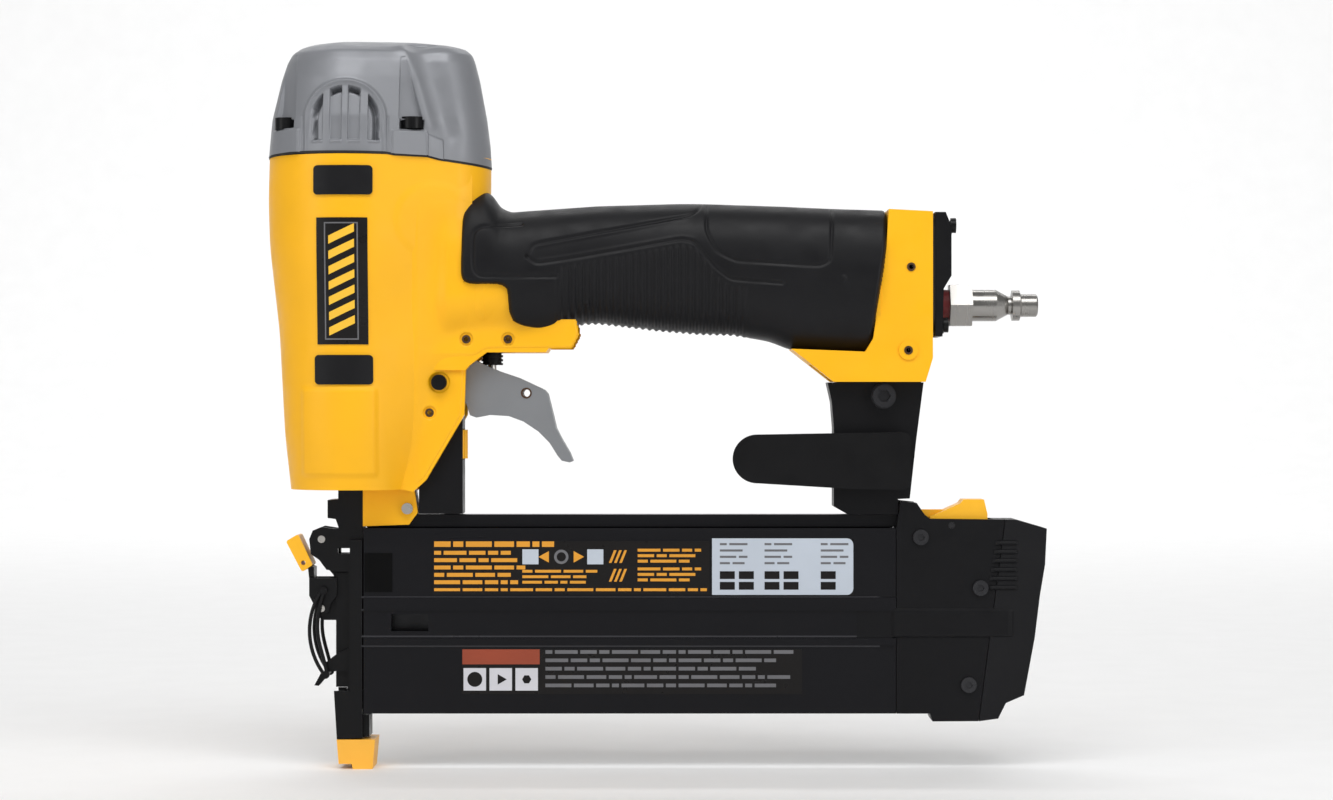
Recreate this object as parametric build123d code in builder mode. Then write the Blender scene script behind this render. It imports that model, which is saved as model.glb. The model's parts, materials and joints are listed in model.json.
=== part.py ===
"""Pneumatic brad nailer for 18-gauge brads up to 50 mm, built as an assembly of separate pieces.

Frame: millimetres, +Z up the driver axis, +X backwards to the air inlet, -Y the near side.
The origin is on the driver axis at the bottom face of the no-mar tip, where the tool meets the work.
"""

import os

from build123d import *

os.makedirs("parts", exist_ok=True)

# ---------------------------------------------------------------- driving dimensions
RUN_FIT = 0.08              # radial clearance of a running fit
AIR_GAP = 0.35              # gap kept between moving neighbours

# driver, cylinder and air chambers
BLADE_X = 1.2               # driver blade thickness
BLADE_Y = 2.2               # driver blade width
BLADE_TIP_Z = 80.0          # blade tip with the piston at the top
PISTON_R = 16.4
PISTON_Z = (197.0, 205.5)
SLEEVE_BORE_R = PISTON_R + RUN_FIT
SLEEVE_OUTER_R = 18.6
SLEEVE_Z = (107.0, 206.0)
BUMPER_Z = (107.2, 124.1)
SEAT_R = SLEEVE_OUTER_R + 0.05
CHAMBER_R = 20.8
HEAD_BORE_R = 22.6
SEAT_TOP_Z = 130.0
HEAD_Z = 200.0
SEAM_Z = 212.0              # joint between the housing and the cap
HEAD_VALVE_TOP_Z = 217.8    # its 3 mm lift ends below the cap screws' heads

# the housing seen from above: a front circle and a rear circle joined by tangents
# rows of (height, front radius, rear radius, rearmost x)
HOUSING_PLAN = (
    (97.0, 20.9, 11.5, 23.4),
    (116.0, 23.0, 12.5, 30.0),
    (152.0, 24.9, 13.5, 40.5),
    (181.0, 28.2, 15.5, 45.0),
    (197.0, 28.7, 17.3, 48.6),
    (212.0, 28.3, 17.3, 48.7),
)
CAP_PLAN = (
    (212.0, 28.3, 17.3, 48.6),
    (225.4, 27.1, 16.4, 47.0),
    (239.0, 23.6, 14.4, 44.1),
    (247.2, 20.1, 12.0, 41.5),
    (251.0, 16.5, 10.0, 38.0),
    (252.5, 8.0, 6.0, 27.0),
)
PAD_PROUD = 0.8
LABEL_PROUD = 0.2

# trigger, trip lever and valve
CHEEK_IN_Y = 7.2            # inner faces of the cheeks around the trigger
CHEEK_OUT_Y = 11.0
TRIGGER_PIVOT = (31.4, 134.1)
TRIGGER_PIN_R = 2.7
LEVER_PIVOT = (61.3, 130.4)
LEVER_PIVOT_R = 1.9
STEM_X = 49.1
STEM_R = 1.5
STEM_Z = (138.0, 160.5)
VALVE_R = 8.0
VALVE_Z = (144.7, 168.0)
VALVE_BOSS_R = 3.8
VALVE_BOSS_Z = 140.2

# handle
HANDLE_SECTIONS = (         # (x, bottom z, top z, half width)
    (36.0, 146.0, 199.5, 19.0),
    (47.0, 146.5, 200.8, 20.5),
    (57.0, 148.5, 193.8, 20.0),
    (72.0, 151.5, 194.6, 18.6),
    (88.0, 154.4, 195.7, 17.4),
    (116.0, 151.2, 196.5, 17.0),
    (146.0, 149.2, 195.8, 17.0),
    (184.0, 145.5, 194.1, 16.6),
)
GRIP_THICK = 2.6

# contact trip and nose
NOSE_HALF_Y = 6.2
NOSE_X = (-0.75, 4.4)
NOSE_Z = (27.2, 97.0)
GUIDE_X = (-1.9, 3.0)
GUIDE_HALF_Y = 3.0
GUIDE_BOTTOM_Z = 9.0
GUIDE_HOLE_X = (GUIDE_X[0] - 0.4, GUIDE_X[1] + 0.4)
GUIDE_HOLE_Y = (-GUIDE_HALF_Y - 0.4, GUIDE_HALF_Y + 0.4)
LUG_HALF_Y = 5.9
STRIP_Y = (6.55, 8.05)
DOOR_HINGE = (-9.9, 79.6)
LATCH_PIVOT = (-9.9, 55.5)
BAIL_PIVOT = (-9.1, 61.8)
BAIL_BAR = (-8.3, 32.6)
BAIL_Y = 7.35
WIRE_R = 0.65
TRIP_ROD_X = 34.8
TRIP_ROD_R = 1.6
ARM_Y = (8.8, 10.3)

# depth adjuster
ADJUSTER_X = (24.0, 39.2)
ADJUSTER_HALF_Y = 6.8
ADJUSTER_Z = (88.5, 126.0)
WHEEL_R = 5.8
WHEEL_Z = (107.6, 117.6)
WHEEL_SLOT_R = WHEEL_R + 0.5
WHEEL_SLOT_Z = (WHEEL_Z[0] - AIR_GAP, WHEEL_Z[1] + AIR_GAP)

# magazine
MAG_X = (4.9, 189.6)
MAG_Z = (19.2, 83.5)
MAG_OUT_Y = 8.0
NAIL_GAP_Y = 0.9
NAIL_Z = (25.2, 75.2)
RAIL_Z = (83.9, 88.1)
RAIL_HALF_Y = 3.8
BAND_Z = (42.9, 59.5)
TAIL_HALF_Y = 8.3
FOOT_POCKET_X = (4.0, 7.2)  # pocket at the magazine's lower front corner for the foot's lugs
FOOT_POCKET_Z = (19.0, 27.3)
PLUG_Z = 161.0

# screws and cross pins of the housing
CAP_SCREW_SPOTS = ((-21.2, 14.0), (-21.2, -14.0), (22.6, 18.2), (22.6, -18.2))     # (x, y)
SCREW_HEAD_Z = (221.2, 225.2)
BRACKET_PIN_SPOTS = ((40.8, 149.0), (55.2, 149.0))                                 # (x, z)
CHEEK_PIN_SPOT = (28.0, 123.6)
REAR_PIN_SPOTS = ((194.5, 174.0), (193.5, 145.2))
PIN_R = 1.5

# ---------------------------------------------------------------- side outlines, as (x, z)
BODY_SIDE = (
    (-32, 212), (-32, 97), (22.3, 97), (26.8, 100.3), (40, 122.8), (40.5, 138.3),
    (41.9, 140), (47.8, 144.5), (68.4, 144.5), (71.7, 150), (71.7, 196), (52, 196),
    (49.2, 200.5), (49.2, 212),
)
CHEEK_SIDE = ((16, 97.5), (22.3, 96.2), (26.8, 100.3), (40, 122.8), (40.5, 138.3), (41.9, 140), (16, 146))
BRACKET_SIDE = (
    (22, 138.3), (40.5, 138.3), (41.9, 140), (47.8, 144.5), (68.4, 144.5), (71.7, 150),
    (70.5, 152), (62, 190), (22, 190),
)
NOSE_SCREW_X = 20.0
NOSE_SCREW_Z = 90.3
NOSE_SCREW_R = 1.2
NOSE_SCREW_HEAD_R = 1.95
TAB_SIDE = ((4.45, 97.5), (4.45, 84.1), (20.5, 84.7), (23.6, 89), (22.3, 97.5))
GRIP_SIDE = (
    (38.9, 203), (51, 203), (190, 203), (187.0, 194.1), (185.9, 180), (184, 167.6), (181.4, 149.3),
    (178.7, 144.9), (153.2, 145.7), (150, 140), (72, 140), (70.5, 150.2), (58.6, 152.8),
    (55.9, 157.5), (55.5, 164.6), (53.1, 167.7), (42.3, 167.7), (38.9, 170.5),
)
REAR_BRACKET_SIDE = (
    (153.2, 145.7), (167.7, 134.3), (199.5, 134.3), (202.0, 142.5), (202.0, 193.2), (186.8, 194.0),
    (185.9, 180), (184, 167.6), (181.4, 149.3), (178.7, 144.7),
)
TRIGGER_SIDE = (
    (43.1, 142), (41.1, 139.1), (34, 138.6), (34, 129.8), (40.5, 126.7), (41.7, 122.7), (43.9, 121.9),
    (48.4, 122.8), (55.2, 122.4), (60.3, 120.5), (65.4, 117.1), (69.3, 113.2), (72.2, 108.6),
    (73.6, 106.9), (76.3, 106.3), (77.5, 106.7), (76.3, 109.7), (73.3, 114.8), (71.6, 118.2),
    (70.4, 123.3), (68.7, 130.1), (67.6, 131.5), (58.6, 135.7), (51.8, 138), (46.2, 140.5),
)
TRIGGER_HOLLOW = (
    (25, 150), (25, 120), (41.6, 120), (43.2, 124.3), (48.4, 124.8), (56.0, 124.3), (61.4, 122.2),
    (66.6, 118.7), (70.2, 115.5), (69.7, 118.0), (68.5, 123.0), (66.9, 129.6), (66.2, 150),
)
LEVER_SIDE = (
    (64.2, 130.4), (62.6, 132.9), (58.0, 133.6), (50.5, 136.2), (47.6, 136.2), (41.0, 132.0),
    (35.2, 131.1), (35.2, 129.8), (41.4, 130.5), (48.0, 134.6), (50.0, 134.6), (57.4, 131.8),
    (59.2, 128.6), (61.3, 127.5), (63.4, 128.4),
)
LOBE_SIDE = (
    (-0.75, 83.8), (-5.5, 83.2), (-9.9, 83.9), (-13.0, 82.6), (-14.2, 79.6), (-13.6, 74.4),
    (-10.7, 72.4), (-8.2, 69), (-4.5, 68.4), (-0.75, 68.4),
)
NOSE_TOP_SIDE = (
    (4.1, 96.9), (-4.1, 96.9), (-4.1, 93.5), (-7.8, 93.2), (-7.8, 87), (-5.0, 86.6), (-3.9, 83.5),
    (-3.9, 79.0), (4.1, 79.0),
)
EAR_SIDE = ((-0.75, 41.5), (-4.2, 40.1), (-8.7, 36.6), (-8.9, 33.7), (-0.75, 33.7))
DOOR_ARM_SIDE = (
    (-5.0, 64), (-4.4, 64), (-4.4, 73.8), (-6.2, 77.2), (-7.2, 83), (-9.9, 83.2), (-13.2, 81),
    (-13.2, 78), (-9.8, 73.5), (-7.6, 69), (-6, 67),
)
LATCH_CHEEK_SIDE = (
    (-14.2, 66.1), (-14.2, 60.0), (-12.4, 56.5), (-9.9, 52.9), (-7.4, 54.5), (-6.6, 57.5),
    (-4.6, 60.0), (-4.6, 66.1),
)
LATCH_LINK_SIDE = ((-14.3, 65.0), (-12.7, 65.0), (-12.7, 69.8), (-14.9, 70.5))
LATCH_TIP_SIDE = ((-22.3, 78.9), (-18.1, 81.4), (-13.0, 70.7), (-16.7, 68.2))
MAG_BRACKET_SIDE = (
    (165.9, 134.1), (167.4, 127.4), (168.1, 118.3), (168.1, 91.0), (172.9, 88.3), (190.4, 88.3),
    (190.4, 93.6), (194.5, 93.8), (196.8, 114.7), (199.3, 134.1),
)
TAIL_SIDE = (
    (189.8, 84), (191.3, 92.9), (196.8, 92.3), (199.5, 88.3), (201.4, 86.8), (227.4, 86.5),
    (218.2, 16.6), (202.3, 16.5), (201.4, 19.2), (189.8, 19.2),
)
TAIL_BUMPER_SIDE = (
    (227.6, 86.5), (231.3, 86.5), (241.9, 83.4), (241.3, 71), (239.5, 60.2), (237.7, 45.6),
    (234, 25.6), (227.7, 22.9), (225, 17.5), (218.4, 16.6),
)
THUMB_SIDE = (
    (201.6, 87.4), (212.1, 92), (213.2, 93.4), (220.4, 93.4), (221.6, 88.4), (221.6, 86.2),
    (212.0, 85.0), (211.4, 83.2), (209, 82.2), (206.6, 83.2), (206.0, 86.2), (201.6, 86.6),
)
END_CAP_SIDE = (
    (202.9, 150), (205.4, 150), (205.8, 166.5), (208.5, 171), (208.5, 188), (206.5, 193), (202.9, 193),
)
HOOK_SIDE = ((141.2, 99.3), (174.5, 97.3), (194.3, 97.0), (194.3, 117.0), (141.2, 116.1))
HOOK_END = (141.2, 107.7)
HOOK_END_R = 8.4
HOOK_STRIP_Y = 13.9         # inner face of the strip, on the near side
BRACKET_BOLT = (185.3, 129.4)
BRACKET_DOWEL = (185.4, 138.0)
DOWEL_HALF_Y = 11.0
HOOK_SCREW_X = 185.0
HOOK_SCREW_Z = (104.0, 112.0)
TRIP_ARM_SIDE = (
    (0.1, 70), (4.4, 70), (31.8, 78), (37.2, 78), (37.2, 93.4), (31.8, 93.4), (31.8, 87), (4.4, 79.5),
    (0.1, 79.5),
)
FOOT_SIDE = ((-4.4, 10.3), (6.7, 11), (6.7, 18.5), (4.4, 18.5), (4.4, 27.0), (-5.4, 27.0))


# ---------------------------------------------------------------- shared shapes
def box(x, y, z, mode=Mode.ADD):
    """A box given by its (low, high) span on each axis."""
    with Locations(((x[0] + x[1]) / 2, (y[0] + y[1]) / 2, (z[0] + z[1]) / 2)):
        Box(x[1] - x[0], y[1] - y[0], z[1] - z[0], mode=mode)


def rectangle(x, z):
    """The corners of a side-view rectangle from its spans."""
    return ((x[0], z[0]), (x[1], z[0]), (x[1], z[1]), (x[0], z[1]))


def both_boxes(x, y, z, mode=Mode.ADD):
    """The same box on the far side and mirrored on the near side."""
    box(x, y, z, mode)
    box(x, (-y[1], -y[0]), z, mode)


def plate(points, y, mode=Mode.ADD, corner=0):
    """A side outline extruded over a (low, high) span of y."""
    with BuildSketch(Plane.XZ.offset(-y[1])) as outline:
        with BuildLine():
            Polyline(*points, close=True)
        make_face()
        if corner:
            fillet(outline.vertices(), corner)
    extrude(outline.sketch, amount=y[1] - y[0], mode=mode)


def both_plates(points, y, mode=Mode.ADD, corner=0):
    """The same side outline on the far side and mirrored on the near side."""
    plate(points, y, mode, corner)
    plate(points, (-y[1], -y[0]), mode, corner)


def rod_x(x, y, z, radius, mode=Mode.ADD):
    with Locations(((x[0] + x[1]) / 2, y, z)):
        Cylinder(radius, x[1] - x[0], rotation=(0, 90, 0), mode=mode)


def rod_y(x, y, z, radius, mode=Mode.ADD):
    with Locations((x, (y[0] + y[1]) / 2, z)):
        Cylinder(radius, y[1] - y[0], rotation=(90, 0, 0), mode=mode)


def rod_z(x, y, z, radius, mode=Mode.ADD):
    with Locations((x, y, (z[0] + z[1]) / 2)):
        Cylinder(radius, z[1] - z[0], mode=mode)


def tube_z(x, z, outer, inner):
    rod_z(x, 0, z, outer)
    rod_z(x, 0, z, inner, Mode.SUBTRACT)


def plan_loft(rows, grow=0.0):
    """A tall shape whose plan is a front circle and a rear circle joined by tangents."""
    sections = []
    for height, front, rear, back in rows:
        with BuildSketch(Plane.XY.offset(height), mode=Mode.PRIVATE) as section:
            Circle(front + grow)
            with Locations((back - rear, 0)):
                Circle(rear + grow)
            make_hull()
        sections.append(section.sketch.face())
    loft(sections, ruled=True)


def handle_loft(inset=0.0):
    """The handle as a run of rounded sections along x, drawn in by a skin thickness."""
    sections = []
    for x, bottom, top, half in HANDLE_SECTIONS:
        width = 2 * (half - inset)
        height = top - bottom - 2 * inset
        with BuildSketch(Plane.YZ.offset(x), mode=Mode.PRIVATE) as section:
            with Locations((0, (top + bottom) / 2)):
                RectangleRounded(width, height, width / 2 - 1.5)
        sections.append(section.sketch.face())
    loft(sections, ruled=True)


def coil_spring(start, direction, length, radius, wire, turns):
    """A coil spring swept round a helix; start is the end face on the spring's axis."""
    axis = Vector(*direction)
    pitch = (length - 2 * wire) / turns
    first = Vector(*start) + axis * wire
    coil = Helix(pitch, pitch * turns, radius, center=first, direction=direction, mode=Mode.PRIVATE)
    with BuildSketch(Plane(coil @ 0, z_dir=coil % 0), mode=Mode.PRIVATE) as section:
        Circle(wire)
    sweep(section.sketch, path=coil)


def save(builder, name):
    builder.part.label = name
    export_step(builder.part, "parts/" + name + ".step")


# ---------------------------------------------------------------- outer shapes the castings share
with BuildPart() as body_blank:
    plan_loft(HOUSING_PLAN)
    plate(BODY_SIDE, (-40, 40), Mode.INTERSECT)

with BuildPart() as body_blank_proud:
    plan_loft(HOUSING_PLAN, PAD_PROUD)

# side-view zones of the pads and labels on the body's flanks
with BuildPart() as bumper_zone:
    both_plates(rectangle((-10.4, 9.8), (198, 208)), (10, 40), corner=1.4)
    both_plates(rectangle((-10.4, 9.6), (133.3, 143.4)), (10, 40), corner=1.4)

with BuildPart() as label_zone:
    both_plates(rectangle((-9.3, 8.1), (147, 190)), (10, 40), corner=1.0)

with BuildPart() as housing_blank:
    add(body_blank.part)
    both_plates(CHEEK_SIDE, (CHEEK_IN_Y, CHEEK_OUT_Y))
    plate(BRACKET_SIDE, (-12.5, 12.5))
    handle_loft(GRIP_THICK)
    plate(REAR_BRACKET_SIDE, (-13.5, 13.5))
    rod_y(REAR_PIN_SPOTS[1][0], (-14.1, 14.1), REAR_PIN_SPOTS[1][1], 3.3)
    # the handle core ends at the flat face for the end cap
    box((202.0, 230), (-30, 30), (130, 200), Mode.SUBTRACT)

# ---------------------------------------------------------------- housing
with BuildPart() as main_housing:
    add(housing_blank.part)
    # tab that carries the nose, straddling the magazine rail
    plate(TAB_SIDE, (-6.1, 6.1))
    box((3.9, 30), (-RAIL_HALF_Y - AIR_GAP, RAIL_HALF_Y + AIR_GAP), (80, RAIL_Z[1] + AIR_GAP), Mode.SUBTRACT)
    box((4, 22.8), (-2.55, 2.55), (88, 95.1), Mode.SUBTRACT)
    # cylinder seat, annular chamber and head bore
    rod_z(0, 0, (SLEEVE_Z[0], 150), SEAT_R, Mode.SUBTRACT)
    rod_z(0, 0, (SEAT_TOP_Z, HEAD_Z), CHAMBER_R, Mode.SUBTRACT)
    rod_z(0, 0, (HEAD_Z, 220), HEAD_BORE_R, Mode.SUBTRACT)
    box((-1.2, 1.2), (-1.8, 1.8), (90, 110), Mode.SUBTRACT)
    # pocket for the trigger and the depth adjuster
    box((23.7, 80), (-CHEEK_IN_Y, CHEEK_IN_Y), (80, VALVE_Z[0] - 0.1), Mode.SUBTRACT)
    # bore for the trigger valve, open to the handle chamber
    rod_z(STEM_X, 0, (140, 176), VALVE_R + 0.02, Mode.SUBTRACT)
    # air chamber along the handle, joined to the cylinder chamber
    rod_x((15, 203), 0, 182, 8.5, Mode.SUBTRACT)
    rod_x((66, 203), 0, 168, 10.0, Mode.SUBTRACT)
    # pins and screws
    rod_y(TRIGGER_PIVOT[0], (-20, 20), TRIGGER_PIVOT[1], TRIGGER_PIN_R, Mode.SUBTRACT)
    for x, z in BRACKET_PIN_SPOTS + (CHEEK_PIN_SPOT,) + REAR_PIN_SPOTS:
        rod_y(x, (-20, 20), z, PIN_R, Mode.SUBTRACT)
    for x, y in CAP_SCREW_SPOTS:
        rod_z(x, y, (199, 215), 1.9, Mode.SUBTRACT)
    rod_y(NOSE_SCREW_X, (-10, 10), NOSE_SCREW_Z, NOSE_SCREW_R + 0.05, Mode.SUBTRACT)
    # bore for the air plug's end cap spigot and the magazine bracket's slot
    box((160, 201), (-7.1, 7.1), (130, 141.5), Mode.SUBTRACT)
    rod_y(BRACKET_DOWEL[0], (-DOWEL_HALF_Y - 0.1, DOWEL_HALF_Y + 0.1), BRACKET_DOWEL[1], 2.0, Mode.SUBTRACT)
save(main_housing, "main_housing")

with BuildPart() as cylinder_cap:
    plan_loft(CAP_PLAN)
    rod_z(0, 0, (200, 232), HEAD_BORE_R, Mode.SUBTRACT)
    rod_z(0, 0, (231, 236.5), 17.0, Mode.SUBTRACT)
    rod_z(0, 0, (236, 246), 9.0, Mode.SUBTRACT)
    # exhaust duct to the rear
    box((18, 40), (-9, 9), (SEAM_Z - 1, 226), Mode.SUBTRACT)
    # screw recesses that break out through the sides
    for x, y in CAP_SCREW_SPOTS:
        rod_z(x, y, (SCREW_HEAD_Z[0], 260), 4.3, Mode.SUBTRACT)
        rod_z(x, y, (205, 230), 2.0, Mode.SUBTRACT)
    # exhaust vents, the middle pair taller than the outer pair
    for x, top in ((-9.7, 231.4), (-3.1, 235.0), (3.3, 235.0), (9.9, 231.4)):
        both_boxes((x - 1.8, x + 1.8), (HEAD_BORE_R - 0.2, 40), (216.7, 230.0), Mode.SUBTRACT)
        both_boxes((x - 1.8, x + 1.8), (20.6, 40), (224.0, top), Mode.SUBTRACT)
    box((-40, 60), (-40, 40), (200, SEAM_Z + 1.0), Mode.SUBTRACT)
save(cylinder_cap, "cylinder_cap")

with BuildPart() as cap_gasket:
    plan_loft(((SEAM_Z, 27.6, 16.6, 47.9), (SEAM_Z + 1.0, 27.6, 16.6, 47.9)))
    rod_z(0, 0, (SEAM_Z - 1, SEAM_Z + 2), HEAD_BORE_R + 0.4, Mode.SUBTRACT)
    for x, y in CAP_SCREW_SPOTS:
        rod_z(x, y, (SEAM_Z - 1, SEAM_Z + 2), 2.0, Mode.SUBTRACT)
save(cap_gasket, "cap_gasket")

with BuildPart() as cap_screws:
    for x, y in CAP_SCREW_SPOTS:
        rod_z(x, y, SCREW_HEAD_Z, 3.9)
        rod_z(x, y, (200, SCREW_HEAD_Z[0] + 0.1), 1.85)
    for x, y in CAP_SCREW_SPOTS:
        with BuildSketch(Plane.XY.offset(223.0)):
            with Locations((x, y)):
                RegularPolygon(2.3, 6)
        extrude(amount=5, mode=Mode.SUBTRACT)
save(cap_screws, "cap_screws")

with BuildPart() as cylinder_sleeve:
    tube_z(0, SLEEVE_Z, SLEEVE_OUTER_R, SLEEVE_BORE_R)
    # transfer holes in a ring above the bumper, and two seal grooves
    with Locations((0, 0, 140)):
        with PolarLocations(SLEEVE_OUTER_R - 1, 8):
            Cylinder(1.2, 8, rotation=(0, 90, 0), mode=Mode.SUBTRACT)
    for z in (112.0, 119.0):
        rod_z(0, 0, (z, z + 2), SLEEVE_OUTER_R + 1, Mode.SUBTRACT)
        tube_z(0, (z, z + 2), SLEEVE_OUTER_R - 0.9, SLEEVE_BORE_R)
save(cylinder_sleeve, "cylinder_sleeve")

with BuildPart() as sleeve_seals:
    for z in (112.0, 119.0):
        with Locations((0, 0, z + 1)):
            Torus(SLEEVE_OUTER_R - 0.45, 0.43)
save(sleeve_seals, "sleeve_seals")

with BuildPart() as piston_bumper:
    tube_z(0, BUMPER_Z, SLEEVE_BORE_R - 0.3, 2.6)
    chamfer(piston_bumper.faces().sort_by(Axis.Z)[-1].outer_wire().edges(), 2.0)
save(piston_bumper, "piston_bumper")

with BuildPart() as side_bumpers:
    add(body_blank_proud.part)
    add(bumper_zone.part, mode=Mode.INTERSECT)
    add(body_blank.part, mode=Mode.SUBTRACT)
save(side_bumpers, "side_bumpers")

with BuildPart() as side_labels:
    plan_loft(HOUSING_PLAN, LABEL_PROUD)
    add(label_zone.part, mode=Mode.INTERSECT)
    add(body_blank.part, mode=Mode.SUBTRACT)
save(side_labels, "side_labels")

with BuildPart() as grip_sleeve:
    handle_loft()
    plate(GRIP_SIDE, (-30, 30), Mode.INTERSECT)
    add(housing_blank.part, mode=Mode.SUBTRACT)
save(grip_sleeve, "grip_sleeve")

# ---------------------------------------------------------------- air inlet
with BuildPart() as end_cap_gasket:
    with BuildSketch(Plane.YZ.offset(202.0)):
        with Locations((0, 171.5)):
            RectangleRounded(24, 42, 7)
    extrude(amount=0.9)
    rod_x((201, 204), 0, 182, 8.5, Mode.SUBTRACT)
    rod_x((201, 204), 0, 168, 10.0, Mode.SUBTRACT)
save(end_cap_gasket, "end_cap_gasket")

END_SCREW_SPOTS = ((-8.4, 188.5), (8.4, 188.5), (-9.2, 154.0), (9.2, 154.0))

with BuildPart() as end_cap:
    plate(END_CAP_SIDE, (-12.5, 12.5))
    rod_x((202, 209), 0, PLUG_Z, 4.9, Mode.SUBTRACT)
    for y, z in END_SCREW_SPOTS:
        rod_x((202, 210), y, z, 1.5, Mode.SUBTRACT)
save(end_cap, "end_cap")

with BuildPart() as end_cap_screws:
    for y, z in END_SCREW_SPOTS:
        face_x = 208.5 if z > 170 else 205.8
        rod_x((203, face_x), y, z, 1.45)
        rod_x((face_x, face_x + 1.8), y, z, 2.6)
save(end_cap_screws, "end_cap_screws")

# half section of the turned plug behind its hexagon, as (x, radius)
PLUG_TURNED = (
    (203.4, 0), (203.4, 4.8), (216.0, 4.8), (216.0, 5.5), (225, 5.5), (229.2, 3.2), (230.2, 3.2),
    (230.6, 5.3), (233.2, 5.3), (233.7, 3.95), (239.0, 3.95), (239.5, 3.4), (239.5, 0),
)
with BuildPart() as air_plug:
    with BuildSketch(Plane.XZ):
        with BuildLine():
            Polyline(*[(x, radius + PLUG_Z) for x, radius in PLUG_TURNED], close=True)
        make_face()
    revolve(axis=Axis((0, 0, PLUG_Z), (1, 0, 0)))
    with BuildSketch(Plane.YZ.offset(208.7)):
        with Locations((0, PLUG_Z)):
            RegularPolygon(8.25, 6)
    extrude(amount=7.7)
    rod_x((200, 245), 0, PLUG_Z, 2.4, Mode.SUBTRACT)
save(air_plug, "air_plug")

with BuildPart() as thread_sealant:
    rod_x((205.9, 208.6), 0, PLUG_Z, 5.5)
    rod_x((205, 210), 0, PLUG_Z, 4.85, Mode.SUBTRACT)
save(thread_sealant, "thread_sealant")

# ---------------------------------------------------------------- pins of the housing
with BuildPart() as trigger_pin:
    rod_y(TRIGGER_PIVOT[0], (-CHEEK_OUT_Y - 3, CHEEK_OUT_Y + 3), TRIGGER_PIVOT[1], TRIGGER_PIN_R - 0.02)
save(trigger_pin, "trigger_pin")

with BuildPart() as roll_pins:
    # the bracket pins stop short of the trigger valve, the cheek pins are in the cheeks only
    for spots, inner, outer in (
            (BRACKET_PIN_SPOTS, 8.3, 13.2), ((CHEEK_PIN_SPOT,), CHEEK_IN_Y + 0.1, CHEEK_OUT_Y + 0.1),
            (REAR_PIN_SPOTS[:1], 7.3, 13.9), (REAR_PIN_SPOTS[1:], 7.3, 14.4)):
        for x, z in spots:
            rod_y(x, (inner, outer), z, PIN_R - 0.02)
            rod_y(x, (-outer, -inner), z, PIN_R - 0.02)
            rod_y(x, (-30, 30), z, 0.8, Mode.SUBTRACT)
save(roll_pins, "roll_pins")

# ---------------------------------------------------------------- head valve
with BuildPart() as head_valve_piston:
    rod_z(0, 0, (208.0, 211.5), 20.5)
    rod_z(0, 0, (211.5, HEAD_VALVE_TOP_Z), HEAD_BORE_R - RUN_FIT)
    rod_z(0, 0, (HEAD_VALVE_TOP_Z, 229.0), 8.0)
    rod_z(0, 0, (223.0, 230.0), 5.0, Mode.SUBTRACT)
    # groove for the seal ring
    rod_z(0, 0, (213.6, 215.6), HEAD_BORE_R + 1, Mode.SUBTRACT)
    rod_z(0, 0, (213.6, 215.6), HEAD_BORE_R - 1.7)
save(head_valve_piston, "head_valve_piston")

with BuildPart() as head_valve_seals:
    tube_z(0, (206.4, 208.0), 19.6, 15.0)
    with Locations((0, 0, 214.6)):
        Torus(HEAD_BORE_R - 0.9, 0.75)
save(head_valve_seals, "head_valve_seals")

with BuildPart() as head_valve_spring:
    coil_spring((0, 0, HEAD_VALVE_TOP_Z + 0.1), (0, 0, 1), 18.5, 12.5, 0.9, 5)
save(head_valve_spring, "head_valve_spring")

# ---------------------------------------------------------------- piston and driver
with BuildPart() as piston:
    rod_z(0, 0, PISTON_Z, PISTON_R)
    rod_z(0, 0, (203.0, 206.0), 10.0, Mode.SUBTRACT)
    rod_z(0, 0, (199.6, 202.2), PISTON_R + 1, Mode.SUBTRACT)
    rod_z(0, 0, (199.6, 202.2), PISTON_R - 2.2)
    box((-BLADE_X / 2, BLADE_X / 2), (-BLADE_Y / 2, BLADE_Y / 2), (190, 201.0), Mode.SUBTRACT)
save(piston, "piston")

with BuildPart() as piston_ring:
    with Locations((0, 0, 200.9)):
        Torus(PISTON_R - 1.15, 1.05)
save(piston_ring, "piston_ring")

with BuildPart() as driver_blade:
    box((-BLADE_X / 2, BLADE_X / 2), (-BLADE_Y / 2, BLADE_Y / 2), (BLADE_TIP_Z, 201.0))
save(driver_blade, "driver_blade")

# ---------------------------------------------------------------- trigger valve
with BuildPart() as trigger_valve_body:
    rod_z(STEM_X, 0, VALVE_Z, VALVE_R)
    rod_z(STEM_X, 0, (VALVE_BOSS_Z, VALVE_Z[0]), VALVE_BOSS_R)
    for z in (141.2, 142.6, 144.0):
        rod_z(STEM_X, 0, (z - 0.3, z + 0.3), VALVE_BOSS_R + 1, Mode.SUBTRACT)
        rod_z(STEM_X, 0, (z - 0.3, z + 0.3), VALVE_BOSS_R - 0.5)
    for z in (150.0, 160.0):
        rod_z(STEM_X, 0, (z, z + 2), VALVE_R + 1, Mode.SUBTRACT)
        rod_z(STEM_X, 0, (z, z + 2), VALVE_R - 1.3)
    rod_z(STEM_X, 0, (VALVE_BOSS_Z - 1, 170), STEM_R + RUN_FIT, Mode.SUBTRACT)
    rod_z(STEM_X, 0, (150, 170), 4.2, Mode.SUBTRACT)
save(trigger_valve_body, "trigger_valve_body")

with BuildPart() as valve_seals:
    for z in (151.0, 161.0):
        with Locations((STEM_X, 0, z)):
            Torus(VALVE_R - 0.68, 0.6)
save(valve_seals, "valve_seals")

with BuildPart() as valve_stem:
    rod_z(STEM_X, 0, STEM_Z, STEM_R)
    rod_z(STEM_X, 0, (151.0, 153.0), 3.6)
save(valve_stem, "valve_stem")

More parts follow.
